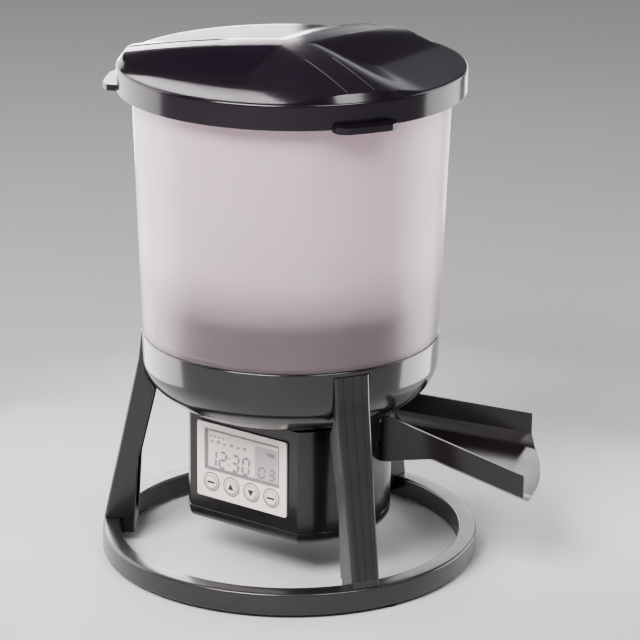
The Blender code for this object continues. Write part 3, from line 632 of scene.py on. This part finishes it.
def make_lid():
    columns, rows = 288, 44
    rim_r = 112.5
    skirt = fillet([(rim_r, LID_RIM_Z + 2.0), (LID_R - 0.2, LID_RIM_Z - 0.6, 2.2),
                    (LID_R - 0.4, SKIRT_LOW, 0.6), (LID_R - 2.6, SKIRT_LOW, 0.6),
                    (LID_R - 2.6, LID_RIM_Z - 3.6, 1.5), (rim_r - 3.0, LID_RIM_Z - 3.0)],
                   6, closed=False)[1:-1]
    bm = bmesh.new()
    centre_top = bm.verts.new((0.0, 0.0, lid_height(0.0, 0.0)))
    centre_low = bm.verts.new((0.0, 0.0, lid_height(0.0, 0.0) - LID_WALL))
    radii = [rim_r * (k / rows) for k in range(1, rows + 1)]
    rings = []
    for i in range(columns):
        angle = 2 * math.pi * i / columns
        c, s = math.cos(angle), math.sin(angle)
        top = [(r, lid_height(r, angle)) for r in radii]
        under = [(r, lid_height(r, angle) - LID_WALL) for r in radii[-2::-1]]
        rings.append([bm.verts.new((r * c, r * s, z)) for r, z in (*top, *skirt, *under)])
    for i in range(columns):
        left, right = rings[i], rings[(i + 1) % columns]
        bm.faces.new((centre_top, left[0], right[0]))
        bm.faces.new((centre_low, right[-1], left[-1]))
        for k in range(len(left) - 1):
            bm.faces.new((left[k], left[k + 1], right[k + 1], right[k]))
    lid = new_object("lid_dome", bm, sharp=30.0)
    tabs = []
    for direction in LEGS.values():
        outline = fillet([(114.6, -22.0), (121.5, -21.0, 2.5), (125.0, -15.0, 4.0),
                          (125.6, 0.0), (125.0, 15.0, 4.0), (121.5, 21.0, 2.5),
                          (114.6, 22.0)], 5)
        tabs.append(plate("tab", outline, SKIRT_LOW - 1.2, SKIRT_LOW + 3.0, turn_z(direction)))
    carve(lid, tabs, "UNION")
    soften(lid, 0.45, 3, 40.0)
    finish(lid, LID, "lid", node="lid")
    make_ridge_lines()


def make_ridge_lines():
    """Two fine raised lines along each ridge, from the rim over half way in."""
    across, half, height, sunk = 9.4, 0.35, 0.45, -0.3
    near, far, steps = 44.0, 111.0, 24
    for name, direction in LEGS.items():
        bm = bmesh.new()
        for side in (-1.0, 1.0):
            last = None
            for k in range(steps + 1):
                along = near + (far - near) * k / steps
                ring = []
                for d, h in ((-half, sunk), (-half * 0.6, height), (half * 0.6, height),
                             (half, sunk)):
                    y = side * across + d
                    angle = math.radians(direction) + math.atan2(y, along)
                    radius = math.hypot(along, y)
                    z = lid_height(radius, angle) + h * min(1.0, k / 3.0 + 0.2)
                    ring.append(bm.verts.new((radius * math.cos(angle), radius * math.sin(angle),
                                              z)))
                if last:
                    for i in range(4):
                        j = (i + 1) % 4
                        bm.faces.new((last[i], last[j], ring[j], ring[i]))
                else:
                    bm.faces.new(ring[::-1])
                last = ring
            bm.faces.new(last)
        lines = new_object(name.replace("leg", "lid_ridge_lines"), bm)
        finish(lines, LID, "lid")


# ---------------------------------------------------------------- control housing and cover

def drum_outline(inset):
    """The housing's plan: a circle with a flat front and slightly rounded corners."""
    count, corner = 120, 1.2
    radius = DRUM_R - inset
    chord = FACE_Y + inset
    start = math.degrees(math.asin(chord / radius))
    points = arc(radius, start, 180.0 - start, count)
    points[0] = (*points[0], corner)
    points[-1] = (*points[-1], corner)
    trimmed = [points[0], *points[2:-2], points[-1]]
    return fillet(trimmed, 4)


def chute_half(reach):
    return CHUTE_FLARE * (reach + CHUTE_APEX)


def reach_at(radius, spare):
    """Reach at which a chute wall's line, moved out by spare, meets a circle about the axis."""
    base = CHUTE_FLARE * CHUTE_APEX + spare
    root = (CHUTE_FLARE * base) ** 2 - (1 + CHUTE_FLARE ** 2) * (base ** 2 - radius ** 2)
    return (math.sqrt(root) - CHUTE_FLARE * base) / (1 + CHUTE_FLARE ** 2)


def wedge(start, radius, spare):
    """Plan of the feed's way out to a circle about the axis, widened by spare."""
    half = chute_half(start) + spare
    edge = math.degrees(math.acos(reach_at(radius, spare) / radius))
    return [(start, -half), *arc(radius, -edge, edge, 17), (start, half)]


def button_spots():
    return [((reach_of(name)[0].x + reach_of(name)[1].x) / 2,
             (reach_of(name)[0].z + reach_of(name)[1].z) / 2) for name in BUTTONS]


def make_housing():
    housing = plate("housing_drum", drum_outline(0.0), DRUM_SEAM, DRUM_TOP)
    carve(housing, [plate("hollow", drum_outline(DRUM_WALL), 20.0, 130.0)])
    pegs = []
    pillar_r, pillar_top = 4.5, 70.0
    for x, y in SCREW_SPOTS:
        pegs.append(rod("pillar", pillar_r, DRUM_SEAM + 0.5, pillar_top, (x, y), 32))
        pegs.append(slab("web", (60.0, -1.5, DRUM_SEAM + 1.0), (68.6, 1.5, 69.0),
                         turn_z(math.degrees(math.atan2(y, x)))))
    carve(housing, pegs, "UNION")
    front = facing(-90.0)
    key_gap, lip = 0.3, 1.7
    tools = [rod("bore", PILOT_R, 20.0, 50.0, spot, 24) for spot in SCREW_SPOTS]
    tools += [rod("key_hole", BUTTON_R + key_gap, *FRONT_CUT, spot, 48, front)
              for spot in button_spots()]
    tools.append(plate("way_out", wedge(50.0, 84.0, CHUTE_WALL + 0.3), 86.9, 105.4,
                       turn_z(CHUTE_TURN)))
    tools.append(slab("display_hole",
                      (WINDOW_LOW.x + lip, -FRONT_CUT[1], WINDOW_LOW.z + lip),
                      (WINDOW_HIGH.x - lip, -FRONT_CUT[0], WINDOW_HIGH.z - lip)))
    tools += [rod("thread", PILOT_R, 60.0, 75.0, (side, CHUTE_SCREW_Z), 24, facing(CHUTE_TURN))
              for side in CHUTE_SCREW_SIDES]
    carve(housing, tools)
    soften(housing, 0.35, 2, 50.0)
    finish(housing, HOUSING, node="control_housing")


def make_cover():
    """Round-edged dish under the housing, with the battery door, vents and screw wells."""
    rounding = 5.0
    steps = [(rounding * (1 - math.sin(t)), rounding * (1 - math.cos(t)))
             for t in (math.pi / 2 * i / 8 for i in range(9))]
    sections = [[(x, y, COVER_LOW + rise) for x, y in drum_outline(inset)]
                for inset, rise in steps]
    top = COVER_TOP
    sections.append([(x, y, top - 0.5) for x, y in drum_outline(0.0)])
    sections.append([(x, y, top) for x, y in drum_outline(0.5)])
    cover = loft("housing_cover", sections)
    carve(cover, [plate("hollow", drum_outline(rounding + 0.3), COVER_LOW + 2.5, 50.0)])
    carve(cover, [rod("boss", 5.2, COVER_LOW + 0.6, top - 0.3, spot, 32)
                  for spot in SCREW_SPOTS], "UNION")
    tools = []
    for spot in SCREW_SPOTS:
        tools += [rod("bore", PILOT_R, 20.0, 45.0, spot, 24),
                  rod("well", 3.9, 20.0, 31.0, spot, 32)]
    door_low, door_high = reach_of("battery_door")
    gap = 0.4
    tools.append(plate("door_way", round_box(
        door_low.x - gap, door_low.y - gap, door_high.x + gap, door_high.y + gap, 2.0),
        20.0, 35.0))
    vent_half, vent_pitch = 0.9, 5.0
    for k in range(7):
        x = vent_pitch * (k - 3)
        tools.append(plate("vent", round_box(x - vent_half, -30.0, x + vent_half, -10.0, 0.85),
                           20.0, 31.0))
    carve(cover, tools)
    soften(cover, 0.3, 2, 50.0)
    finish(cover, HOUSING, node="base_cover")
    for number, spot in enumerate(SCREW_SPOTS, 1):
        screw(f"cover_fixing_{number}", f"cover_screw_{number}", head_r=3.2, head_low=28.4,
              head_h=2.3, tip=48.0, matrix=Matrix.Translation((*spot, 0.0)))
    door = plate("battery_hatch", round_box(
        door_low.x, door_low.y, door_high.x, door_high.y, 1.8), door_low.z, door_high.z)
    grips = []
    grip_long, grip_wide = 12.0, 0.45
    for k in range(6):
        y = door_low.y + 5.0 + 2.0 * k
        grips.append(plate("grip", round_box(
            -grip_long, y - grip_wide, grip_long, y + grip_wide, 0.4),
            door_low.z - 1.0, door_low.z + 0.6))
    carve(door, grips)
    soften(door, 0.3, 2, 40.0)
    finish(door, HOUSING, "battery_cover", node="battery_door")


# ---------------------------------------------------------------- front panel

SEGMENTS = {  # bars of a seven-bar digit, as (from, to) on a grid 1 wide and 2 high
    "a": ((0, 2), (1, 2)), "b": ((1, 2), (1, 1)), "c": ((1, 1), (1, 0)), "d": ((0, 0), (1, 0)),
    "e": ((0, 1), (0, 0)), "f": ((0, 2), (0, 1)), "g": ((0, 1), (1, 1))}
DIGITS = {"0": "abcdef", "1": "bc", "2": "abged", "3": "abgcd"}


def bar(bm, start, end, thick):
    """One pointed bar of a digit, in the panel's plane."""
    start, end = Vector(start), Vector(end)
    along = (end - start).normalized()
    side = Vector((-along.y, along.x)) * thick / 2
    start, end = start + along * thick * 0.2, end - along * thick * 0.2
    shape = [start, start + along * thick / 2 + side, end - along * thick / 2 + side, end,
             end - along * thick / 2 - side, start + along * thick / 2 - side]
    bm.faces.new([bm.verts.new((p.x, p.y, 0.0)) for p in shape])


def digit(bm, sign, x, z, wide, high, thick, lean=0.08):
    for key in DIGITS[sign]:
        ends = [(x + u * wide + lean * v * high / 2, z + v * high / 2) for u, v in SEGMENTS[key]]
        bar(bm, *ends, thick)


def patch(bm, x0, z0, x1, z1):
    bm.faces.new([bm.verts.new((x, z, 0.0)) for x, z in ((x0, z0), (x1, z0), (x1, z1), (x0, z1))])


def print_layer(name, bm, depth, material, thick=0.06, body="feeder"):
    """Flat artwork lifted off the panel's face by its own thickness."""
    raised = bmesh.ops.extrude_face_region(bm, geom=list(bm.faces))["geom"]
    lift = [item for item in raised if isinstance(item, bmesh.types.BMVert)]
    bmesh.ops.translate(bm, vec=(0, 0, thick), verts=lift)
    art = new_object(name, bm, facing(-90.0, (0.0, depth, 0.0)))
    return finish(art, material, body)


def ring_face(bm, centre, inner, outer):
    """A flat ring in the panel's plane."""
    steps = 72
    rings = [[bm.verts.new((centre[0] + x, centre[1] + z, 0.0))
              for x, z in (polar(r, 360.0 * k / steps) for k in range(steps))]
             for r in (inner, outer)]
    for k in range(steps):
        j = (k + 1) % steps
        bm.faces.new((rings[0][k], rings[1][k], rings[1][j], rings[0][j]))


def make_panel():
    low, high = PANEL_LOW, PANEL_HIGH
    front = facing(-90.0)
    depth = -high.y, -low.y
    panel = plate("panel_sheet", round_box(low.x, low.z, high.x, high.z, 1.6, 6), *depth, front)
    gap = 0.2
    tools = [rod("key_hole", BUTTON_R + gap, *FRONT_CUT, spot, 64, front)
             for spot in button_spots()]
    tools.append(plate("window_hole", round_box(
        WINDOW_LOW.x - gap, WINDOW_LOW.z - gap, WINDOW_HIGH.x + gap, WINDOW_HIGH.z + gap, 1.0),
        *FRONT_CUT, front))
    carve(panel, tools)
    soften(panel, 0.2, 2, 40.0)
    finish(panel, FILM, node="front_panel")

    frame_line = bmesh.new()
    edge, thick = 1.5, 0.5
    for x0, z0, x1, z1 in ((low.x + edge, low.z + edge, high.x - edge, low.z + edge + thick),
                           (low.x + edge, high.z - edge - thick, high.x - edge, high.z - edge),
                           (low.x + edge, low.z + edge + thick, low.x + edge + thick,
                            high.z - edge - thick),
                           (high.x - edge - thick, low.z + edge + thick, high.x - edge,
                            high.z - edge - thick)):
        patch(frame_line, x0, z0, x1, z1)
    print_layer("panel_border_line", frame_line, low.y, FILM_EDGE)
    outlines = bmesh.new()
    for spot in button_spots():
        ring_face(outlines, spot, BUTTON_R + 0.5, BUTTON_R + 1.2)
    print_layer("key_outer_lines", outlines, low.y, INK_GREY)

    window = plate("display_window", round_box(
        WINDOW_LOW.x, WINDOW_LOW.z, WINDOW_HIGH.x, WINDOW_HIGH.z, 0.8),
        -WINDOW_HIGH.y + 0.5, -WINDOW_LOW.y, front)
    finish(window, WINDOW, node="lcd_window")
    make_display()
    make_buttons()


def make_display():
    """Cell behind the window with a clock, a feed count, tick marks and a battery mark."""
    front = facing(-90.0)
    margin = 1.9
    x0, x1 = WINDOW_LOW.x + margin, WINDOW_HIGH.x - margin
    z0, z1 = WINDOW_LOW.z + margin, WINDOW_HIGH.z - margin
    back, face, layer = 50.2, 53.0, 0.05
    cell = slab("lcd_cell", (x0, z0, back), (x1, z1, face), front)
    soften(cell, 0.2, 2)
    finish(cell, LCD)
    shade = bmesh.new()
    patch_x = x1 - 19.5
    patch(shade, patch_x, z0 + 0.4, x1 - 0.6, z1 - 2.4)
    print_layer("lcd_shaded_field", shade, -face, LCD_PATCH, layer)
    ink = bmesh.new()
    wide, high, thick = 5.2, 11.4, 1.7
    base = z0 + 1.0
    for sign, x in zip("1230", (x0 + 1.2, x0 + 9.6, x0 + 20.4, x0 + 29.4)):
        digit(ink, sign, x, base, wide, high, thick)
    for z in (base + 3.6, base + 8.4):
        patch(ink, x0 + 17.6, z - 0.6, x0 + 18.8, z + 0.6)
    for sign, x in zip("03", (patch_x + 3.2, patch_x + 11.4)):
        digit(ink, sign, x, base + 0.6, 4.6, 7.4, 1.6)
    battery_x, battery_z = x1 - 8.6, z1 - 6.6
    patch(ink, battery_x, battery_z - 1.3, battery_x + 5.6, battery_z + 1.3)
    patch(ink, battery_x - 0.9, battery_z - 0.6, battery_x, battery_z + 0.6)
    print_layer("lcd_digits", ink, -face - layer, LCD_INK, layer)
    faint = bmesh.new()
    for k in range(6):
        x = x0 + 2.0 + 5.6 * k
        high_mark = 2.2 if k % 2 else 1.4
        patch(faint, x, z1 - 8.2, x + 2.6, z1 - 8.2 + high_mark)
    for k in range(4):
        x = x0 + 1.5 + 3.4 * k
        patch(faint, x, z1 - 4.0, x + 2.0, z1 - 2.8)
    print_layer("lcd_marks", faint, -face, LCD_FAINT, layer)


def make_buttons():
    for name, body, (x, z) in zip(BUTTONS, BUTTON_BODIES, button_spots()):
        low, high = reach_of(name)
        tip, end = -low.y, -high.y
        flange_front, flange_back, flange_r, stem_r = 50.2, 49.2, 7.0, 2.0
        spot = facing(-90.0) @ Matrix.Translation((x, z, 0.0))
        cap = revolve(f"{name}_cap", fillet([
            (0.0, tip), (BUTTON_R - 1.0, tip - 0.05, 4.0), (BUTTON_R, tip - 0.55, 0.35),
            (BUTTON_R, flange_front), (flange_r, flange_front), (flange_r, flange_back),
            (stem_r, flange_back), (stem_r, end), (0.0, end)], 5, closed=False), 72, spot,
            closed=False)
        finish(cap, KEY, body, node=name)
        ring = bmesh.new()
        ring_face(ring, (x, z), BUTTON_R - 1.25, BUTTON_R - 0.85)
        print_layer(f"{name}_line", ring, -tip + 0.06, INK_GREY, 0.06, body)
        sign = bmesh.new()
        if name in ("button_menu", "button_enter"):
            patch(sign, x - 3.1, z - 0.75, x + 3.1, z + 0.75)
        else:
            up = 1.0 if name == "button_up" else -1.0
            sign.faces.new([sign.verts.new((x + u, z + up * v, 0.0))
                            for u, v in ((-2.6, -1.9), (2.6, -1.9), (0.0, 2.6))])
        print_layer(f"{name}_sign", sign, -tip + 0.06, INK, 0.08, body)


# ---------------------------------------------------------------- chute

def chute_point(share, side, height, inset=0.0):
    """A point of the trough: share 0 to 1 along it, side -1 to 1 across it."""
    spread = side * (1 - inset / CHUTE_HALF)
    start = CHUTE_ROOT_R - 12.0
    end = CHUTE_END + CHUTE_BULGE * (1 - spread ** 2)
    reach = start + share * (end - start)
    across = side * (chute_half(min(reach, CHUTE_END)) - inset)
    return reach, across, chute_top(reach) + height


def chute_top(reach):
    return CHUTE_TOP_AT_END + CHUTE_SLOPE * (CHUTE_END - reach)


def chute_section(share):
    """Upright walls, a sloping band below each and a flat floor, as one closed outline."""
    wall, floor = CHUTE_WALL, CHUTE_WALL_H + CHUTE_DROP
    middle = [k / 6 - 1.0 for k in range(1, 12)]
    low = [chute_point(share, side, -floor, CHUTE_BAND) for side in middle]
    high = [chute_point(share, side, wall - floor, CHUTE_BAND) for side in middle]
    outside = [
        chute_point(share, -1, 0.0), chute_point(share, -1, -CHUTE_WALL_H),
        chute_point(share, -1, -floor, CHUTE_BAND), *low,
        chute_point(share, 1, -floor, CHUTE_BAND), chute_point(share, 1, -CHUTE_WALL_H),
        chute_point(share, 1, 0.0)]
    inside = [
        chute_point(share, 1, 0.0, wall), chute_point(share, 1, 1.4 - CHUTE_WALL_H, wall),
        chute_point(share, 1, wall - floor, CHUTE_BAND + 0.4), *high[::-1],
        chute_point(share, -1, wall - floor, CHUTE_BAND + 0.4),
        chute_point(share, -1, 1.4 - CHUTE_WALL_H, wall), chute_point(share, -1, 0.0, wall)]
    return outside + inside


def make_chute():
    turn = turn_z(CHUTE_TURN)
    steps = 18
    chute = loft("feed_chute", [chute_section(i / steps) for i in range(steps + 1)], turn)
    flange = plate("flange", fillet([(56.0, -22.0), (73.4, -22.0, 2.0), (73.4, 22.0, 2.0),
                                     (56.0, 22.0)]), 73.5, 88.0, turn)
    carve(chute, [flange], "UNION")
    root, kink = CHUTE_ROOT_R - 9.0, 104.0
    flare = math.atan(CHUTE_FLARE)
    gusset = [((reach + CHUTE_APEX) / math.cos(flare), height) for reach, height in (
        (root, 74.5), (kink, chute_top(kink) - CHUTE_WALL_H + 0.8),
        (kink, chute_top(kink) - 8.0), (root, chute_top(root) - 8.0))]
    webs = []
    for side in (-1, 1):
        low, high = sorted((side * 0.23, side * 2.1))
        matrix = (turn @ Matrix.Translation((-CHUTE_APEX, 0.0, 0.0))
                  @ turn_z(side * math.degrees(flare)) @ Matrix.Rotation(math.pi / 2, 4, "X"))
        webs.append(plate("gusset", gusset, low, high, matrix))
    carve(chute, webs, "UNION")
    tools = [rod("back", CHUTE_ROOT_R + 0.1, 50.0, 130.0, (0.0, 0.0), 180)]
    tools += [rod("screw_way", PILOT_R, 50.0, 80.0, (side, CHUTE_SCREW_Z), 24,
                  facing(CHUTE_TURN)) for side in CHUTE_SCREW_SIDES]
    carve(chute, tools)
    soften(chute, 0.45, 2, 40.0)
    finish(chute, CHUTE, node="chute")
    for number, side in enumerate(CHUTE_SCREW_SIDES, 1):
        out = facing(CHUTE_TURN) @ Matrix.Translation((-side, CHUTE_SCREW_Z, 0.0))
        flip = out @ Matrix.Scale(-1.0, 4, (0.0, 0.0, 1.0))
        screw(f"chute_fixing_{number}", f"chute_screw_{number}", head_r=3.0, head_low=-75.8,
              head_h=2.0, tip=-62.0, matrix=flip)


# ---------------------------------------------------------------- carried-over CAD nodes

CARRIED = {
    "funnel_spout": INNER, "hopper_seal": RUBBER, "lid_seal": RUBBER,
    "upper_bush": BRASS, "lower_bush": BRASS,
    "motor_bracket": INNER, "gearmotor": STEEL, "motor_pinion": BRASS, "drive_gear": NYLON,
    "drive_shaft": STEEL, "thrower_wheel": NYLON, "dosing_disc": NYLON, "stirrer": INNER,
    "thrower_housing": INNER, "battery_tray": INNER, "battery_contact_1": STEEL,
    "battery_contact_2": STEEL, "battery_1": CELL, "battery_2": CELL, "battery_3": CELL,
    "battery_4": CELL, "circuit_board": BOARD, "lcd_module": LCD}


def dress_cad_nodes():
    """Better materials, and finely rounded edges, on the CAD nodes that stay."""
    for name, material in CARRIED.items():
        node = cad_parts[name]
        for slot in node.material_slots:
            slot.material = material
        weld = node.modifiers.new("weld", "WELD")
        weld.merge_threshold = 0.01 * MM
        soften(node, 0.2, 2, 40.0)


# ---------------------------------------------------------------- floor, light and camera

def studio(view_turn):
    """Pale floor, a surround that is pale low down and dark overhead, and soft boxes.

    A box is placed by its angle from the camera, its height angle and its distance.
    """
    floor_r = 14000.0
    ground = bmesh.new()
    bmesh.ops.create_circle(ground, cap_ends=True, segments=96, radius=floor_r)
    floor = new_object("floor", ground)
    n = Nodes("pale_floor")
    n.set(Base_Color=n.blend(n.spread(n.noise(900.0, 2.0), 0.0, 1.0), colour(0.56, 0.56, 0.56),
                             colour(0.59, 0.59, 0.59)), Roughness=0.7, Specular_IOR_Level=0.2)
    n.set(Normal=n.bump(n.noise(2.0, 2.0), 0.03, 0.05))
    floor.data.materials.append(n.material)

    world = bpy.data.worlds.new("studio")
    bpy.context.scene.world = world
    world.use_nodes = True
    tree = world.node_tree
    ray = tree.nodes.new("ShaderNodeTexCoord").outputs["Generated"]
    split = tree.nodes.new("ShaderNodeSeparateXYZ")
    tree.links.new(ray, split.inputs["Vector"])
    rise = tree.nodes.new("ShaderNodeMapRange")
    rise.interpolation_type = "SMOOTHSTEP"
    for socket, value in (("From Min", -0.05), ("From Max", 0.3), ("To Min", 0.9),
                          ("To Max", 0.10)):
        rise.inputs[socket].default_value = value
    tree.links.new(split.outputs["Z"], rise.inputs["Value"])
    background = tree.nodes["Background"]
    background.inputs["Color"].default_value = colour(0.98, 0.98, 1.0)
    tree.links.new(rise.outputs["Result"], background.inputs["Strength"])

    base = Vector((AXIS_X * MM, AXIS_Y * MM, 0.0))
    boxes = (  # name, angle, height angle, distance, aim height, width, height, power, tint
        ("key", -34.0, 46.0, 2.4, 0.18, 1.4, 1.0, 62.0, (1.0, 0.98, 0.97)),
        ("fill", 38.0, 50.0, 2.4, 0.15, 1.0, 0.8, 16.0, (1.0, 0.99, 0.98)),
        ("left_box", -112.0, 0.0, 0.32, 0.31, 0.38, 0.60, 1.6, (1.0, 0.96, 0.97)),
        ("right_box", 104.0, 0.0, 0.34, 0.31, 0.26, 0.60, 1.1, (1.0, 0.97, 0.98)),
        ("rear_left_box", -166.5, 0.0, 0.52, 0.30, 0.26, 0.33, 1.2, (1.0, 0.94, 0.96)),
        ("rear_right_box", 158.0, 0.0, 0.52, 0.20, 0.24, 0.24, 0.28, (1.0, 0.98, 0.98)))
    wide_spread, side_spread = 150.0, 135.0
    for name, angle, rise, distance, height, wide, high, power, tint in boxes:
        lamp = bpy.data.lights.new(name, "AREA")
        lamp.shape = "RECTANGLE"
        lamp.size, lamp.size_y, lamp.energy, lamp.color = wide, high, power, tint
        box = bpy.data.objects.new(name, lamp)
        bpy.context.scene.collection.objects.link(box)
        turn, lift = math.radians(view_turn + angle), math.radians(rise)
        out = Vector((math.sin(turn) * math.cos(lift), -math.cos(turn) * math.cos(lift),
                      math.sin(lift)))
        box.location = base + Vector((0.0, 0.0, height)) + out * distance
        box.rotation_euler = (-out).to_track_quat("-Z", "Y").to_euler()
        lamp.spread = math.radians(wide_spread if rise else side_spread)
        box.visible_camera = False


def make_camera(view_turn):
    """Long lens from the front right, above the lid, tilted a touch as the object stands."""
    distance, height, roll = 2.0, 0.82, 0.5
    aim_right, aim_height = 0.0200, 0.165
    camera = bpy.data.cameras.new("camera")
    camera.lens = 173.5
    camera.sensor_width = 36.0
    camera.clip_start, camera.clip_end = 0.05, 60.0
    holder = bpy.data.objects.new("camera", camera)
    bpy.context.scene.collection.objects.link(holder)
    turn = math.radians(view_turn)
    base = Vector((AXIS_X * MM, AXIS_Y * MM, 0.0))
    right = Vector((math.cos(turn), math.sin(turn), 0.0))
    aim = base + right * aim_right + Vector((0.0, 0.0, aim_height))
    holder.location = base + Vector((math.sin(turn) * distance, -math.cos(turn) * distance,
                                     height))
    holder.rotation_euler = ((aim - holder.location).to_track_quat("-Z", "Y").to_matrix()
                             .to_4x4() @ turn_z(roll)).to_euler()
    bpy.context.scene.camera = holder


make_ring()
make_legs()
make_bowl()
make_funnel()
make_hopper()
make_lid()
make_housing()
make_cover()
make_panel()
make_chute()
dress_cad_nodes()

VIEW_TURN = 36.5
studio(VIEW_TURN)
make_camera(VIEW_TURN)
bpy.context.scene.view_settings.look = "AgX - Medium High Contrast"
